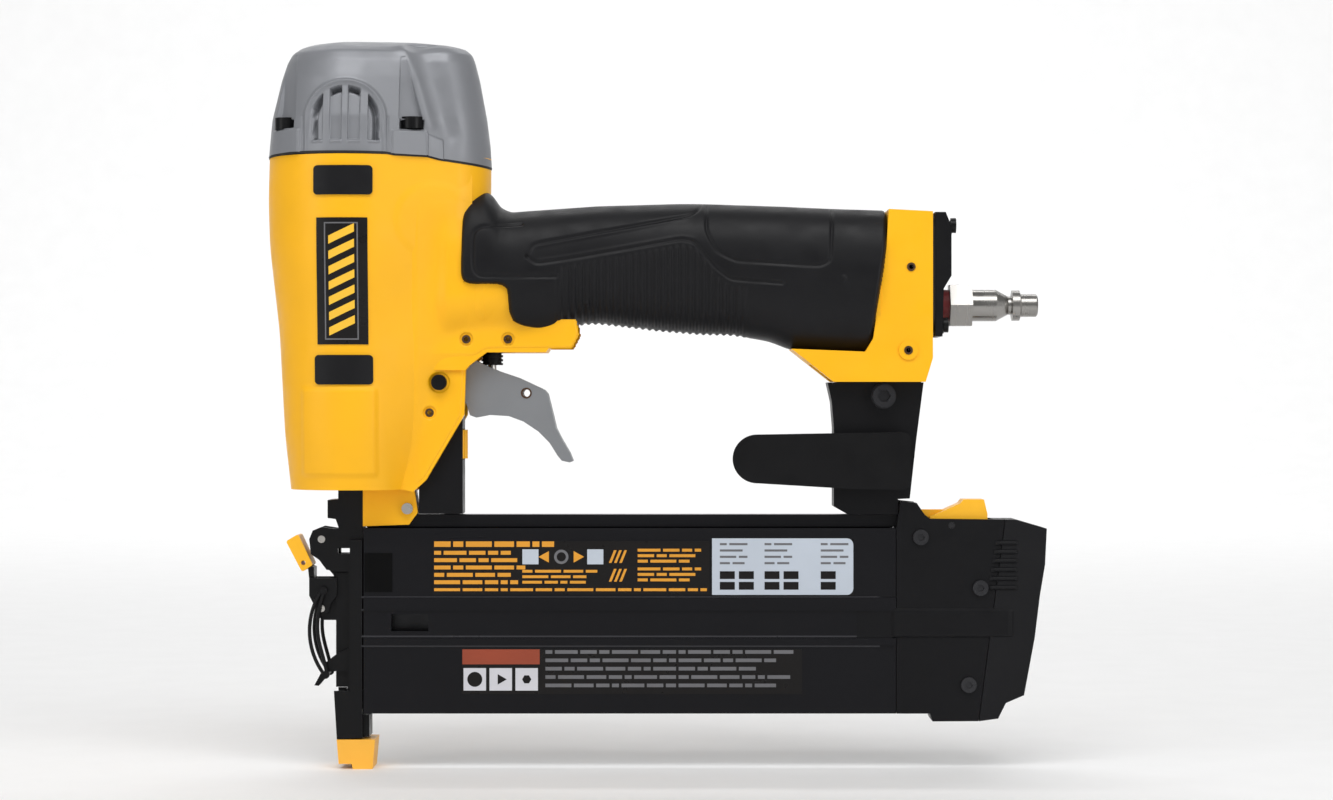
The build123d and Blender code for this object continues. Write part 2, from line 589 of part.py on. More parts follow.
with BuildPart() as valve_spring:
    coil_spring((STEM_X, 0, 153.1), (0, 0, 1), 14.7, 2.9, 0.4, 7)
    rod_z(STEM_X, 0, (167.9, 168.6), 4.1)
    rod_z(STEM_X, 0, (167.8, 168.7), 1.0, Mode.SUBTRACT)
save(valve_spring, "valve_spring")

# ---------------------------------------------------------------- trigger and trip lever
with BuildPart() as trigger:
    plate(TRIGGER_SIDE, (-6.5, 6.5))
    rod_y(TRIGGER_PIVOT[0], (-6.5, 6.5), TRIGGER_PIVOT[1], 4.6)
    plate(TRIGGER_HOLLOW, (-4.9, 4.9), Mode.SUBTRACT)
    rod_y(TRIGGER_PIVOT[0], (-8, 8), TRIGGER_PIVOT[1], TRIGGER_PIN_R + RUN_FIT, Mode.SUBTRACT)
    rod_y(LEVER_PIVOT[0], (-8, 8), LEVER_PIVOT[1], LEVER_PIVOT_R, Mode.SUBTRACT)
save(trigger, "trigger")

with BuildPart() as trip_lever_rivet:
    rod_y(LEVER_PIVOT[0], (-6.6, 6.6), LEVER_PIVOT[1], LEVER_PIVOT_R - 0.02)
    rod_y(LEVER_PIVOT[0], (-8, 8), LEVER_PIVOT[1], 1.3, Mode.SUBTRACT)
save(trip_lever_rivet, "trip_lever_rivet")

with BuildPart() as trip_lever:
    plate(LEVER_SIDE, (-2.6, 2.6))
    rod_y(LEVER_PIVOT[0], (-8, 8), LEVER_PIVOT[1], LEVER_PIVOT_R + RUN_FIT, Mode.SUBTRACT)
save(trip_lever, "trip_lever")

# ---------------------------------------------------------------- nose
with BuildPart() as nose_body:
    box(NOSE_X, (-NOSE_HALF_Y, NOSE_HALF_Y), NOSE_Z)
    plate(NOSE_TOP_SIDE, (-NOSE_HALF_Y, NOSE_HALF_Y))
    both_plates(LOBE_SIDE, (4.0, NOSE_HALF_Y))
    both_plates(EAR_SIDE, (4.9, NOSE_HALF_Y - 0.2))
    box(GUIDE_X, (-GUIDE_HALF_Y, GUIDE_HALF_Y), (GUIDE_BOTTOM_Z, NOSE_Z[0]))
    # tongue bolted inside the housing's tab
    box((4.3, 22.6), (-2.5, 2.5), (88.3, 95.0))
    rod_y(NOSE_SCREW_X, (-10, 10), NOSE_SCREW_Z, NOSE_SCREW_R + 0.05, Mode.SUBTRACT)
    # driver channel, nail slot from the magazine, see-through slot
    box((-0.85, 0.75), (-1.25, 1.25), (0, 98), Mode.SUBTRACT)
    box((0, 6), (-NAIL_GAP_Y, NAIL_GAP_Y), (24.8, 75.6), Mode.SUBTRACT)
    box((-4.2, 0.1), (-10, 10), (74.5, 76.5), Mode.SUBTRACT)
    rod_y(DOOR_HINGE[0], (-8, 8), DOOR_HINGE[1], 1.3, Mode.SUBTRACT)
save(nose_body, "nose_body")

with BuildPart() as door_hinge_pin:
    rod_y(DOOR_HINGE[0], (-6.6, 6.6), DOOR_HINGE[1], 1.28)
save(door_hinge_pin, "door_hinge_pin")

with BuildPart() as nose_screws:
    rod_y(NOSE_SCREW_X, (-7.0, 7.0), NOSE_SCREW_Z, NOSE_SCREW_R)
    for side in (-1, 1):
        rod_y(NOSE_SCREW_X, (side * 7.0 - 0.9, side * 7.0 + 0.9), NOSE_SCREW_Z, NOSE_SCREW_HEAD_R)
save(nose_screws, "nose_screws")

with BuildPart() as nose_door:
    box((-5.0, -0.9), (-4.6, 4.6), (28.2, 67.9))
    box((-5.0, -0.9), (-3.6, 3.6), (67.0, 73.6))
    plate(DOOR_ARM_SIDE, (-3.6, 3.6))
    plate(((-5, 51.4), (-5, 59.3), (-8.5, 59.3), (-11.9, 57.2), (-11.9, 53.4), (-10, 51.4)), (-4.0, 4.0))
    rod_y(DOOR_HINGE[0], (-8, 8), DOOR_HINGE[1], 1.28 + RUN_FIT, Mode.SUBTRACT)
    rod_y(LATCH_PIVOT[0], (-8, 8), LATCH_PIVOT[1], 1.2, Mode.SUBTRACT)
    # the door closes the front of the driver channel with a shallow rib relief
    box((-1.2, 0), (-0.6, 0.6), (28, 74), Mode.SUBTRACT)
save(nose_door, "nose_door")

with BuildPart() as latch_pivot_pin:
    rod_y(LATCH_PIVOT[0], (-6.3, 6.3), LATCH_PIVOT[1], 1.18)
save(latch_pivot_pin, "latch_pivot_pin")

with BuildPart() as latch_lever:
    both_plates(LATCH_CHEEK_SIDE, (4.95, 6.15))
    box((-14.2, -12.9), (-6.15, 6.15), (62.0, 66.1))
    plate(LATCH_LINK_SIDE, (-4.5, 4.5))
    rod_y(LATCH_PIVOT[0], (-8, 8), LATCH_PIVOT[1], 1.18 + RUN_FIT, Mode.SUBTRACT)
    rod_y(BAIL_PIVOT[0], (-8, 8), BAIL_PIVOT[1], WIRE_R + RUN_FIT, Mode.SUBTRACT)
save(latch_lever, "latch_lever")

with BuildPart() as latch_tip:
    plate(LATCH_TIP_SIDE, (-6.0, 6.0), corner=0.8)
    add(latch_lever.part, mode=Mode.SUBTRACT)
    rod_y(-16.3, (-8, 8), 71.4, 0.8, Mode.SUBTRACT)
save(latch_tip, "latch_tip")

# each side of the bail has an outer and an inner wire between an eye at the pivot and an eye at the bar
BAIL_OUTER = ((-9.5, 62.0), (-12.9, 55.0), (-13.9, 47.0), (-12.1, 38.5), (-8.9, 32.8))
BAIL_INNER = ((-8.8, 61.6), (-10.8, 54.0), (-11.0, 46.5), (-9.2, 38.6), (-7.9, 33.0))
BAIL_EYE_R = 1.35

with BuildPart() as door_bail:
    for side in (-BAIL_Y, BAIL_Y):
        for points in (BAIL_OUTER, BAIL_INNER):
            wire = Spline(*[(x, side, z) for x, z in points], mode=Mode.PRIVATE)
            with BuildSketch(Plane(wire @ 0, z_dir=wire % 0), mode=Mode.PRIVATE) as section:
                Circle(WIRE_R)
            sweep(section.sketch, path=wire)
        for x, z in (BAIL_PIVOT, BAIL_BAR):
            rod_y(x, (side - WIRE_R - 0.05, side + WIRE_R + 0.05), z, BAIL_EYE_R)
    rod_y(BAIL_PIVOT[0], (4.9, BAIL_Y), BAIL_PIVOT[1], WIRE_R)
    rod_y(BAIL_PIVOT[0], (-BAIL_Y, -4.9), BAIL_PIVOT[1], WIRE_R)
    rod_y(BAIL_BAR[0], (-BAIL_Y, BAIL_Y), BAIL_BAR[1], WIRE_R)
    plate(((-12.7, 28.6), (-11.2, 28.4), (-7.9, 32.4), (-8.7, 33.1), (-10.4, 32.9)), (-3.5, 3.5))
save(door_bail, "door_bail")

# ---------------------------------------------------------------- contact trip
with BuildPart() as contact_trip:
    # foot around the end of the nose, with side plates
    plate(FOOT_SIDE, (-STRIP_Y[1], STRIP_Y[1]))
    box((-20, 20), (-STRIP_Y[0], STRIP_Y[0]), (18.5, 30), Mode.SUBTRACT)
    box(GUIDE_HOLE_X, GUIDE_HOLE_Y, (5, 20), Mode.SUBTRACT)
    # the foot's rear lugs rise into the magazine's pocket, with a slot between them for the brads
    both_boxes((4.55, 8), (LUG_HALF_Y, 12), (5, 30), Mode.SUBTRACT)
    box((3.0, 8), (-1.2, 1.2), (16.4, 30), Mode.SUBTRACT)
    # strips up both sides of the nose
    both_boxes((0.1, 4.4), STRIP_Y, (26.0, 79.5))
    # arm along the far side of the magazine to the adjuster
    plate(TRIP_ARM_SIDE, ARM_Y)
    box((0.1, 4.4), (STRIP_Y[0], ARM_Y[1]), (70, 79.5))
    box((31.8, 37.2), (-2.7, ARM_Y[1]), (90.4, 93.4))
    rod_z(TRIP_ROD_X, 0, (90.4, 121.0), TRIP_ROD_R)
save(contact_trip, "contact_trip")

TIP_SIDE = ((-4.4, 10.2), (-3.7, 1.8), (0.8, 1.8), (1.2, 0), (8.0, 0), (8.9, 10.2))

with BuildPart() as no_mar_tip:
    plate(TIP_SIDE, (-8.6, 8.6))
    box(GUIDE_HOLE_X, GUIDE_HOLE_Y, (-1, 12), Mode.SUBTRACT)
save(no_mar_tip, "no_mar_tip")

with BuildPart() as trip_spring:
    coil_spring((TRIP_ROD_X, 0, 93.5), (0, 0, 1), 13.3, 2.5, 0.4, 6)
save(trip_spring, "trip_spring")

# ---------------------------------------------------------------- depth adjuster
with BuildPart() as depth_housing:
    box(ADJUSTER_X, (-ADJUSTER_HALF_Y, ADJUSTER_HALF_Y), ADJUSTER_Z)
    # travel space of the trip's finger, open to the far side
    box((31.3, 37.7), (-3.2, 10), (89.9, 107.0), Mode.SUBTRACT)
    # wheel slot open to the rear
    rod_z(TRIP_ROD_X, 0, WHEEL_SLOT_Z, WHEEL_SLOT_R, Mode.SUBTRACT)
    box((TRIP_ROD_X, 45), (-WHEEL_SLOT_R, WHEEL_SLOT_R), WHEEL_SLOT_Z, Mode.SUBTRACT)
    # depth stop bore and rod bore
    rod_z(TRIP_ROD_X, 0, (100, 130), 3.6, Mode.SUBTRACT)
save(depth_housing, "depth_housing")

with BuildPart() as depth_wheel:
    tube_z(TRIP_ROD_X, WHEEL_Z, WHEEL_R, TRIP_ROD_R + RUN_FIT)
    with Locations((TRIP_ROD_X, 0, (WHEEL_Z[0] + WHEEL_Z[1]) / 2)):
        with PolarLocations(WHEEL_R, 20):
            Cylinder(0.45, 20, mode=Mode.SUBTRACT)
save(depth_wheel, "depth_wheel")

with BuildPart() as depth_stop:
    tube_z(TRIP_ROD_X, (118.4, 122.4), 3.5, TRIP_ROD_R + RUN_FIT)
save(depth_stop, "depth_stop")

# ---------------------------------------------------------------- magazine, fixed track
with BuildPart() as magazine_track:
    box((5.2, 190.4), (-RAIL_HALF_Y, RAIL_HALF_Y), RAIL_Z)
    box((190.3, 196.0), (-3.4, 3.4), RAIL_Z)
    box((5.2, 188.0), (NAIL_GAP_Y, 5.9), (22.5, RAIL_Z[0] + 0.1))
    for x in range(20, 180, 20):
        box((x - 8, x + 8), (2.4, 4.4), (24, 82), Mode.SUBTRACT)
    box(FOOT_POCKET_X, (0, 7), FOOT_POCKET_Z, Mode.SUBTRACT)
    # notch for the latch tooth
    box((191.6, 193.7), (-4, 4), (86.5, 90), Mode.SUBTRACT)
save(magazine_track, "magazine_track")

with BuildPart() as magazine_bracket:
    plate(MAG_BRACKET_SIDE, (-7.0, 7.0))
    plate(((169, 141.2), (169, 133.9), (198.5, 133.9), (198.5, 141.2)), (-6.9, 6.9))
    rod_y(BRACKET_BOLT[0], (-20, 20), BRACKET_BOLT[1], 2.5, Mode.SUBTRACT)
    rod_y(BRACKET_DOWEL[0], (-20, 20), BRACKET_DOWEL[1], 2.0, Mode.SUBTRACT)
    for z in HOOK_SCREW_Z:
        rod_y(HOOK_SCREW_X, (-20, 20), z, 1.6, Mode.SUBTRACT)
save(magazine_bracket, "magazine_bracket")

with BuildPart() as bracket_bolt:
    rod_y(BRACKET_BOLT[0], (-7.0, 7.0), BRACKET_BOLT[1], 2.48)
    rod_y(BRACKET_BOLT[0], (-8.0, -7.0), BRACKET_BOLT[1], 4.4)
    rod_y(BRACKET_BOLT[0], (-11.0, -7.9), BRACKET_BOLT[1], 3.9)
    with BuildSketch(Plane.XZ.offset(9.0)):
        with Locations(BRACKET_BOLT):
            RegularPolygon(2.3, 6)
    extrude(amount=5, mode=Mode.SUBTRACT)
    rod_y(BRACKET_DOWEL[0], (-DOWEL_HALF_Y, DOWEL_HALF_Y), BRACKET_DOWEL[1], 1.98)
save(bracket_bolt, "bracket_bolt")

with BuildPart() as belt_hook:
    with BuildSketch(Plane.XZ.offset(HOOK_STRIP_Y)) as strip:
        with BuildLine():
            Polyline(*HOOK_SIDE, close=True)
        make_face()
        with Locations(HOOK_END):
            Circle(HOOK_END_R)
        fillet(strip.vertices().sort_by(Axis.X)[-2:], 3.0)
    extrude(amount=2.2)
    # stand-off block against the bracket
    box((174.5, 193.0), (-HOOK_STRIP_Y - 0.1, -7.1), (99.0, 115.0))
    for z in HOOK_SCREW_Z:
        rod_y(HOOK_SCREW_X, (-13.0, 0), z, 1.6, Mode.SUBTRACT)
save(belt_hook, "belt_hook")

with BuildPart() as belt_hook_screws:
    for z in HOOK_SCREW_Z:
        rod_y(HOOK_SCREW_X, (-12.8, 7.1), z, 1.58)
        rod_y(HOOK_SCREW_X, (7.05, 9.0), z, 2.8)
        box((HOOK_SCREW_X - 4, HOOK_SCREW_X + 4), (8.2, 12), (z - 0.4, z + 0.4), Mode.SUBTRACT)
save(belt_hook_screws, "belt_hook_screws")

with BuildPart() as nail_strip:
    box((0.95, 92.0), (-0.5, 0.5), NAIL_Z)
    box((0.95, 92.0), (-0.75, 0.75), (NAIL_Z[1] - 1.2, NAIL_Z[1]))
save(nail_strip, "nail_strip")

# ---------------------------------------------------------------- magazine, sliding part
WINDOW = ((14.5, 27.4), (-12, -0.5), (47.8, 53.7))

with BuildPart() as magazine_channel:
    box(MAG_X, (-MAG_OUT_Y, -NAIL_GAP_Y), MAG_Z)
    # upper and lower hollow cells and the slotted spring channel between them
    box((0, 200), (-6.4, -2.3), (55.7, 81.8), Mode.SUBTRACT)
    box((0, 200), (-6.4, -2.3), (21.8, 47.8), Mode.SUBTRACT)
    box((0, 200), (-6.4, -2.3), (49.3, 54.2), Mode.SUBTRACT)
    box((0, 200), (-2.4, 0), (51.0, 52.6), Mode.SUBTRACT)
    # far wall and floor
    box(MAG_X, (6.25, MAG_OUT_Y), MAG_Z)
    box(MAG_X, (-MAG_OUT_Y, MAG_OUT_Y), (MAG_Z[0], 22.1))
    # raised bands outside, with a channel along them
    both_boxes(MAG_X, (MAG_OUT_Y, MAG_OUT_Y + 0.7), BAND_Z)
    both_boxes((0, 200), (MAG_OUT_Y + 0.2, MAG_OUT_Y + 2), (45.4, 54.9), Mode.SUBTRACT)
    box(*WINDOW, mode=Mode.SUBTRACT)
    box(FOOT_POCKET_X, (-6.3, 6.3), FOOT_POCKET_Z, Mode.SUBTRACT)
save(magazine_channel, "magazine_channel")

LABEL_PANELS = (((29, 125), (60.5, 79)), ((125.6, 175), (60.2, 79.8)), ((39, 157), (26, 41.6)))

with BuildPart() as magazine_labels:
    for x, z in LABEL_PANELS:
        box(x, (-MAG_OUT_Y - 0.15, -MAG_OUT_Y), z)
save(magazine_labels, "magazine_labels")

TAIL_SCREW_SPOTS = ((198.2, 80.4), (218.9, 62.8), (214.8, 29.2))


def tail_half(y):
    """One moulded half of the magazine's tail, with the recess for the latch."""
    plate(TAIL_SIDE, y)
    box((189, 201), (-4.2, 4.2), (83.4, 100), Mode.SUBTRACT)
    box((199.4, 223.6), (-6.3, 6.3), (81.4, 100), Mode.SUBTRACT)
    box((192, 215), (-5.5, 5.5), (30, 78), Mode.SUBTRACT)
    rod_y(209, (-20, 20), 84.5, 1.2, Mode.SUBTRACT)
    for x, z in TAIL_SCREW_SPOTS:
        rod_y(x, (-20, 20), z, 1.4, Mode.SUBTRACT)


with BuildPart() as tail_half_near:
    tail_half((-TAIL_HALF_Y, 0))
save(tail_half_near, "tail_half_near")

with BuildPart() as tail_half_far:
    tail_half((0, TAIL_HALF_Y))
save(tail_half_far, "tail_half_far")

with BuildPart() as tail_bumper:
    plate(TAIL_BUMPER_SIDE, (-TAIL_HALF_Y - 0.3, TAIL_HALF_Y + 0.3))
save(tail_bumper, "tail_bumper")

with BuildPart() as tail_screws:
    for x, z in TAIL_SCREW_SPOTS:
        rod_y(x, (-TAIL_HALF_Y, TAIL_HALF_Y), z, 1.38)
        rod_y(x, (-TAIL_HALF_Y - 1.2, -TAIL_HALF_Y), z, 2.7)
        with BuildSketch(Plane.XZ.offset(TAIL_HALF_Y + 0.5)):
            with Locations((x, z)):
                RegularPolygon(1.3, 6)
        extrude(amount=5, mode=Mode.SUBTRACT)
save(tail_screws, "tail_screws")

with BuildPart() as pusher:
    box((92.4, 104.0), (-0.55, 0.55), (25.5, 75.5))
    box((92.4, 104.0), (-2.8, 0), (51.35, 52.25))
    box((92.4, 104.0), (-6.1, -2.6), (49.6, 53.9))
save(pusher, "pusher")

with BuildPart() as pusher_spring:
    coil_spring((104.3, -4.35, 51.75), (1, 0, 0), 84.6, 1.3, 0.3, 22)
save(pusher_spring, "pusher_spring")

with BuildPart() as magazine_latch:
    plate(THUMB_SIDE, (-5.9, 5.9))
    box((191.9, 206.5), (-2.0, 2.0), (88.5, 89.8))
    box((191.9, 193.3), (-2.0, 2.0), (86.9, 88.6))
    box((200, 212), (-2.0, 2.0), (86.5, 89.8))
    rod_y(209, (-20, 20), 84.5, 1.18 + RUN_FIT, Mode.SUBTRACT)
save(magazine_latch, "magazine_latch")

with BuildPart() as latch_pin:
    rod_y(209, (-TAIL_HALF_Y + 0.3, TAIL_HALF_Y - 0.3), 84.5, 1.18)
save(latch_pin, "latch_pin")
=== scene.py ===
"""Looks for the pneumatic brad nailer: sculpted skins, printed panels and materials on the CAD frame."""

import json
import math

import bpy
import numpy as np
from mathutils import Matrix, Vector


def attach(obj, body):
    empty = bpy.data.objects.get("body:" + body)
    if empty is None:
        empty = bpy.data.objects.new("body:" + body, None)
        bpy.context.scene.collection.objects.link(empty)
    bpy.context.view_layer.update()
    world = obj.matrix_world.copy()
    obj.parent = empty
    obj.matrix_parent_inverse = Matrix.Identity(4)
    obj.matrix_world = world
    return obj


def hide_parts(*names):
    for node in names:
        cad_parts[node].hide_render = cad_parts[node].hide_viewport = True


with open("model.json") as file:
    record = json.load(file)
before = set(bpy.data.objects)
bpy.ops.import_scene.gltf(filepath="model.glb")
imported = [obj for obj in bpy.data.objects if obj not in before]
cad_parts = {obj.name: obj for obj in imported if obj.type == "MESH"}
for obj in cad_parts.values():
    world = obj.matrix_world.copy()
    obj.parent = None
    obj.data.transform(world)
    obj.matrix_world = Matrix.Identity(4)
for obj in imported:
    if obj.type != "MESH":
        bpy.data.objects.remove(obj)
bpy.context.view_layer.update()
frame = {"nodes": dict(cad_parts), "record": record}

MM = 0.001
NODES = frame["nodes"]


# ---------------------------------------------------------------- materials
def new_material(name, colour, roughness, metallic=0.0, grain_mm=0.5, grain_depth_mm=0.02,
                 tone=0.06, rough_spread=0.08, coat=0.0, brush=None, specular=0.5):
    """A principled finish with fine grain, slow tone drift and uneven sheen.

    brush is an optional (x, y, z) stretch that turns the grain into drawn or turned lines.
    """
    material = bpy.data.materials.new(name)
    material.use_nodes = True
    nodes = material.node_tree.nodes
    links = material.node_tree.links
    nodes.clear()
    output = nodes.new("ShaderNodeOutputMaterial")
    shader = nodes.new("ShaderNodeBsdfPrincipled")
    links.new(shader.outputs["BSDF"], output.inputs["Surface"])
    shader.inputs["Metallic"].default_value = metallic
    shader.inputs["Coat Weight"].default_value = coat
    shader.inputs["Coat Roughness"].default_value = 0.25
    shader.inputs["Specular IOR Level"].default_value = specular
    place = nodes.new("ShaderNodeTexCoord")
    stretch = nodes.new("ShaderNodeMapping")
    stretch.inputs["Scale"].default_value = brush or (1.0, 1.0, 1.0)
    links.new(place.outputs["Object"], stretch.inputs["Vector"])

    grain = nodes.new("ShaderNodeTexNoise")
    grain.inputs["Scale"].default_value = 1.0 / (grain_mm * MM)
    grain.inputs["Detail"].default_value = 3.0
    links.new(stretch.outputs["Vector"], grain.inputs["Vector"])
    bump = nodes.new("ShaderNodeBump")
    bump.inputs["Strength"].default_value = 0.6
    bump.inputs["Distance"].default_value = grain_depth_mm * MM
    links.new(grain.outputs["Fac"], bump.inputs["Height"])
    links.new(bump.outputs["Normal"], shader.inputs["Normal"])

    drift = nodes.new("ShaderNodeTexNoise")
    drift.inputs["Scale"].default_value = 38.0
    drift.inputs["Detail"].default_value = 4.0
    links.new(place.outputs["Object"], drift.inputs["Vector"])
    tint = nodes.new("ShaderNodeValToRGB")
    low, high = tint.color_ramp.elements
    low.position = 0.3
    high.position = 0.7
    low.color = tuple(c * (1 - tone) for c in colour) + (1.0,)
    high.color = tuple(min(1.0, c * (1 + tone)) for c in colour) + (1.0,)
    links.new(drift.outputs["Fac"], tint.inputs["Fac"])
    links.new(tint.outputs["Color"], shader.inputs["Base Color"])

    sheen = nodes.new("ShaderNodeMapRange")
    sheen.inputs["From Min"].default_value = 0.3
    sheen.inputs["From Max"].default_value = 0.7
    sheen.inputs["To Min"].default_value = max(0.03, roughness - rough_spread)
    sheen.inputs["To Max"].default_value = min(1.0, roughness + rough_spread)
    smudge = nodes.new("ShaderNodeTexNoise")
    smudge.inputs["Scale"].default_value = 140.0
    smudge.inputs["Detail"].default_value = 5.0
    links.new(stretch.outputs["Vector"], smudge.inputs["Vector"])
    links.new(smudge.outputs["Fac"], sheen.inputs["Value"])
    links.new(sheen.outputs["Result"], shader.inputs["Roughness"])
    return material


YELLOW = (0.95, 0.47, 0.004)

MATERIALS = {
    "yellow_casting": new_material("yellow_casting", YELLOW, 0.42, grain_mm=0.35, grain_depth_mm=0.010,
                                   tone=0.03, specular=0.35),
    "grey_cap": new_material("grey_cap", (0.225, 0.232, 0.25), 0.42, metallic=0.25, grain_mm=0.30,
                             grain_depth_mm=0.014, tone=0.05),
    "black_rubber": new_material("black_rubber", (0.0062, 0.0062, 0.0074), 0.46, grain_mm=0.25,
                                 grain_depth_mm=0.03, tone=0.10, specular=0.20),
    "black_plastic": new_material("black_plastic", (0.0050, 0.0050, 0.0060), 0.42, grain_mm=0.30,
                                  grain_depth_mm=0.02, tone=0.08, specular=0.17),
    "black_steel": new_material("black_steel", (0.0042, 0.0042, 0.0048), 0.36, grain_mm=0.4,
                                grain_depth_mm=0.01, tone=0.12, specular=0.20),
    "black_aluminium": new_material("black_aluminium", (0.0052, 0.0052, 0.0068), 0.34, grain_mm=0.25,
                                    grain_depth_mm=0.008, tone=0.06, brush=(0.05, 1.0, 1.0), specular=0.18),
    "bright_steel": new_material("bright_steel", (0.55, 0.53, 0.50), 0.28, metallic=1.0, grain_mm=0.2,
                                 grain_depth_mm=0.006, tone=0.06),
    "plated_plug": new_material("plated_plug", (0.33, 0.32, 0.305), 0.27, metallic=1.0, grain_mm=0.25,
                                grain_depth_mm=0.008, tone=0.06, brush=(1.0, 0.08, 0.08)),
    "red_sealant": new_material("red_sealant", (0.22, 0.012, 0.012), 0.5, grain_mm=0.6,
                                grain_depth_mm=0.10, tone=0.15),
    "seal_rubber": new_material("seal_rubber", (0.008, 0.008, 0.008), 0.6, tone=0.1),
    "bumper_urethane": new_material("bumper_urethane", (0.42, 0.24, 0.05), 0.4, tone=0.08),
    "trigger_grey": new_material("trigger_grey", (0.215, 0.223, 0.235), 0.44, metallic=0.2, grain_mm=0.3,
                                 grain_depth_mm=0.018, tone=0.05),
    "yellow_plastic": new_material("yellow_plastic", (0.93, 0.47, 0.012), 0.40, grain_mm=0.4,
                                   grain_depth_mm=0.012, tone=0.04),
    "yellow_tip": new_material("yellow_tip", (0.93, 0.46, 0.045), 0.46, grain_mm=0.5,
                               grain_depth_mm=0.03, tone=0.06),
    "label_dark": new_material("label_dark", (0.007, 0.006, 0.006), 0.33, grain_mm=0.8,
                               grain_depth_mm=0.004, tone=0.05, specular=0.22),
    "plain_aluminium": new_material("plain_aluminium", (0.72, 0.72, 0.72), 0.3, metallic=1.0,
                                    brush=(1.0, 1.0, 0.06), tone=0.05),
    # brad_steel is darkened to near black: painted shade for the brads seen deep in the magazine's window
    "brad_steel": new_material("brad_steel", (0.030, 0.030, 0.032), 0.35, metallic=0.8,
                               brush=(1.0, 1.0, 0.05), tone=0.08),
    "dark_pin": new_material("dark_pin", (0.085, 0.045, 0.025), 0.42, metallic=0.55, grain_mm=0.2,
                             grain_depth_mm=0.006, tone=0.15),
    "dark_fastener": new_material("dark_fastener", (0.026, 0.026, 0.029), 0.30, metallic=0.5, grain_mm=0.2,
                                  grain_depth_mm=0.006, tone=0.10),
    # ridge_highlight: a slightly lighter black, painted highlight for the lit edges of the magazine channel's
    # ridges
    "ridge_highlight": new_material("ridge_highlight", (0.020, 0.020, 0.025), 0.34, grain_mm=0.4,
                                grain_depth_mm=0.004, tone=0.10),
    # painted_shade: near-black painted shade for the magazine channel behind the nose and for two small dots
    "painted_shade": new_material("painted_shade", (0.0012, 0.0012, 0.0014), 0.5, tone=0.1,
                                grain_depth_mm=0.003, specular=0.1),
    "print_orange": new_material("print_orange", (0.70, 0.30, 0.02), 0.45, tone=0.08, grain_depth_mm=0.003),
    "print_yellow": new_material("print_yellow", (0.90, 0.52, 0.03), 0.42, tone=0.04, grain_depth_mm=0.003),
    "print_white": new_material("print_white", (0.60, 0.60, 0.64), 0.45, tone=0.05, grain_depth_mm=0.003),
    "print_pale": new_material("print_pale", (0.48, 0.53, 0.60), 0.40, tone=0.04, grain_depth_mm=0.003),
    "print_red": new_material("print_red", (0.30, 0.050, 0.018), 0.45, tone=0.08, grain_depth_mm=0.003),
    "print_dim": new_material("print_dim", (0.13, 0.13, 0.14), 0.5, tone=0.1, grain_depth_mm=0.003),
}


def paint(obj, slot):
    obj.data.materials.clear()
    obj.data.materials.append(MATERIALS[slot])


def soften(obj, width_mm, angle_deg=35, segments=2):
    """Rounds the sharp edges of a shown piece with a small bevel."""
    bevel = obj.modifiers.new("edge_round", "BEVEL")
    bevel.width = width_mm * MM
    bevel.segments = segments
    bevel.limit_method = "ANGLE"
    bevel.angle_limit = math.radians(angle_deg)
    bevel.harden_normals = False
    bevel.use_clamp_overlap = True


def smooth_by_angle(obj, angle_deg=32):
    """Smooth shading with creases where faces meet sharply."""
    mesh = obj.data
    mesh.shade_smooth()
    mesh.set_sharp_from_angle(angle=math.radians(angle_deg))


for entry in frame["record"]["subparts"]:
    cad_node = NODES[entry["node"]]
    paint(cad_node, entry["material_slot"])
    smooth_by_angle(cad_node)


# pins and tail screws are darker than the bright parts inside
for name in ("roll_pins", "trip_lever_rivet"):
    paint(NODES[name], "dark_pin")
for name in ("tail_screws", "bracket_bolt", "latch_pin"):
    paint(NODES[name], "dark_fastener")


# ---------------------------------------------------------------- mesh helpers
def add_piece(name, vertices, faces, slot, body, smooth=True):
    """A mesh piece from vertices in millimetres, riding on a CAD body."""
    mesh = bpy.data.meshes.new(name)
    mesh.from_pydata([tuple(v) for v in np.asarray(vertices, dtype=float) * MM], [], faces)
    mesh.update()
    obj = bpy.data.objects.new(name, mesh)
    bpy.context.scene.collection.objects.link(obj)
    if smooth:
        mesh.shade_smooth()
    mesh.materials.append(MATERIALS[slot])
    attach(obj, body)
    return obj


def smooth_rows(keys, count, softness):
    """Resamples rows of key numbers evenly along their length and rounds the corners."""
    keys = np.asarray(keys, dtype=float)
    steps = np.linalg.norm(np.diff(keys[:, :2], axis=0), axis=1)
    along = np.concatenate([[0], np.cumsum(steps)])
    fine = np.linspace(0, along[-1], count)
    rows = np.stack([np.interp(fine, along, keys[:, k]) for k in range(keys.shape[1])], axis=1)
    reach = max(1, int(softness / (along[-1] / count) * 3))
    offsets = np.arange(-reach, reach + 1)
    kernel = np.exp(-0.5 * (offsets / (reach / 3)) ** 2)
    kernel /= kernel.sum()
    padded = np.concatenate([
        2 * rows[:1] - rows[1:reach + 1][::-1], rows, 2 * rows[-1:] - rows[-reach - 1:-1][::-1]])
    return np.stack([np.convolve(padded[:, k], kernel, "valid") for k in range(keys.shape[1])], axis=1)


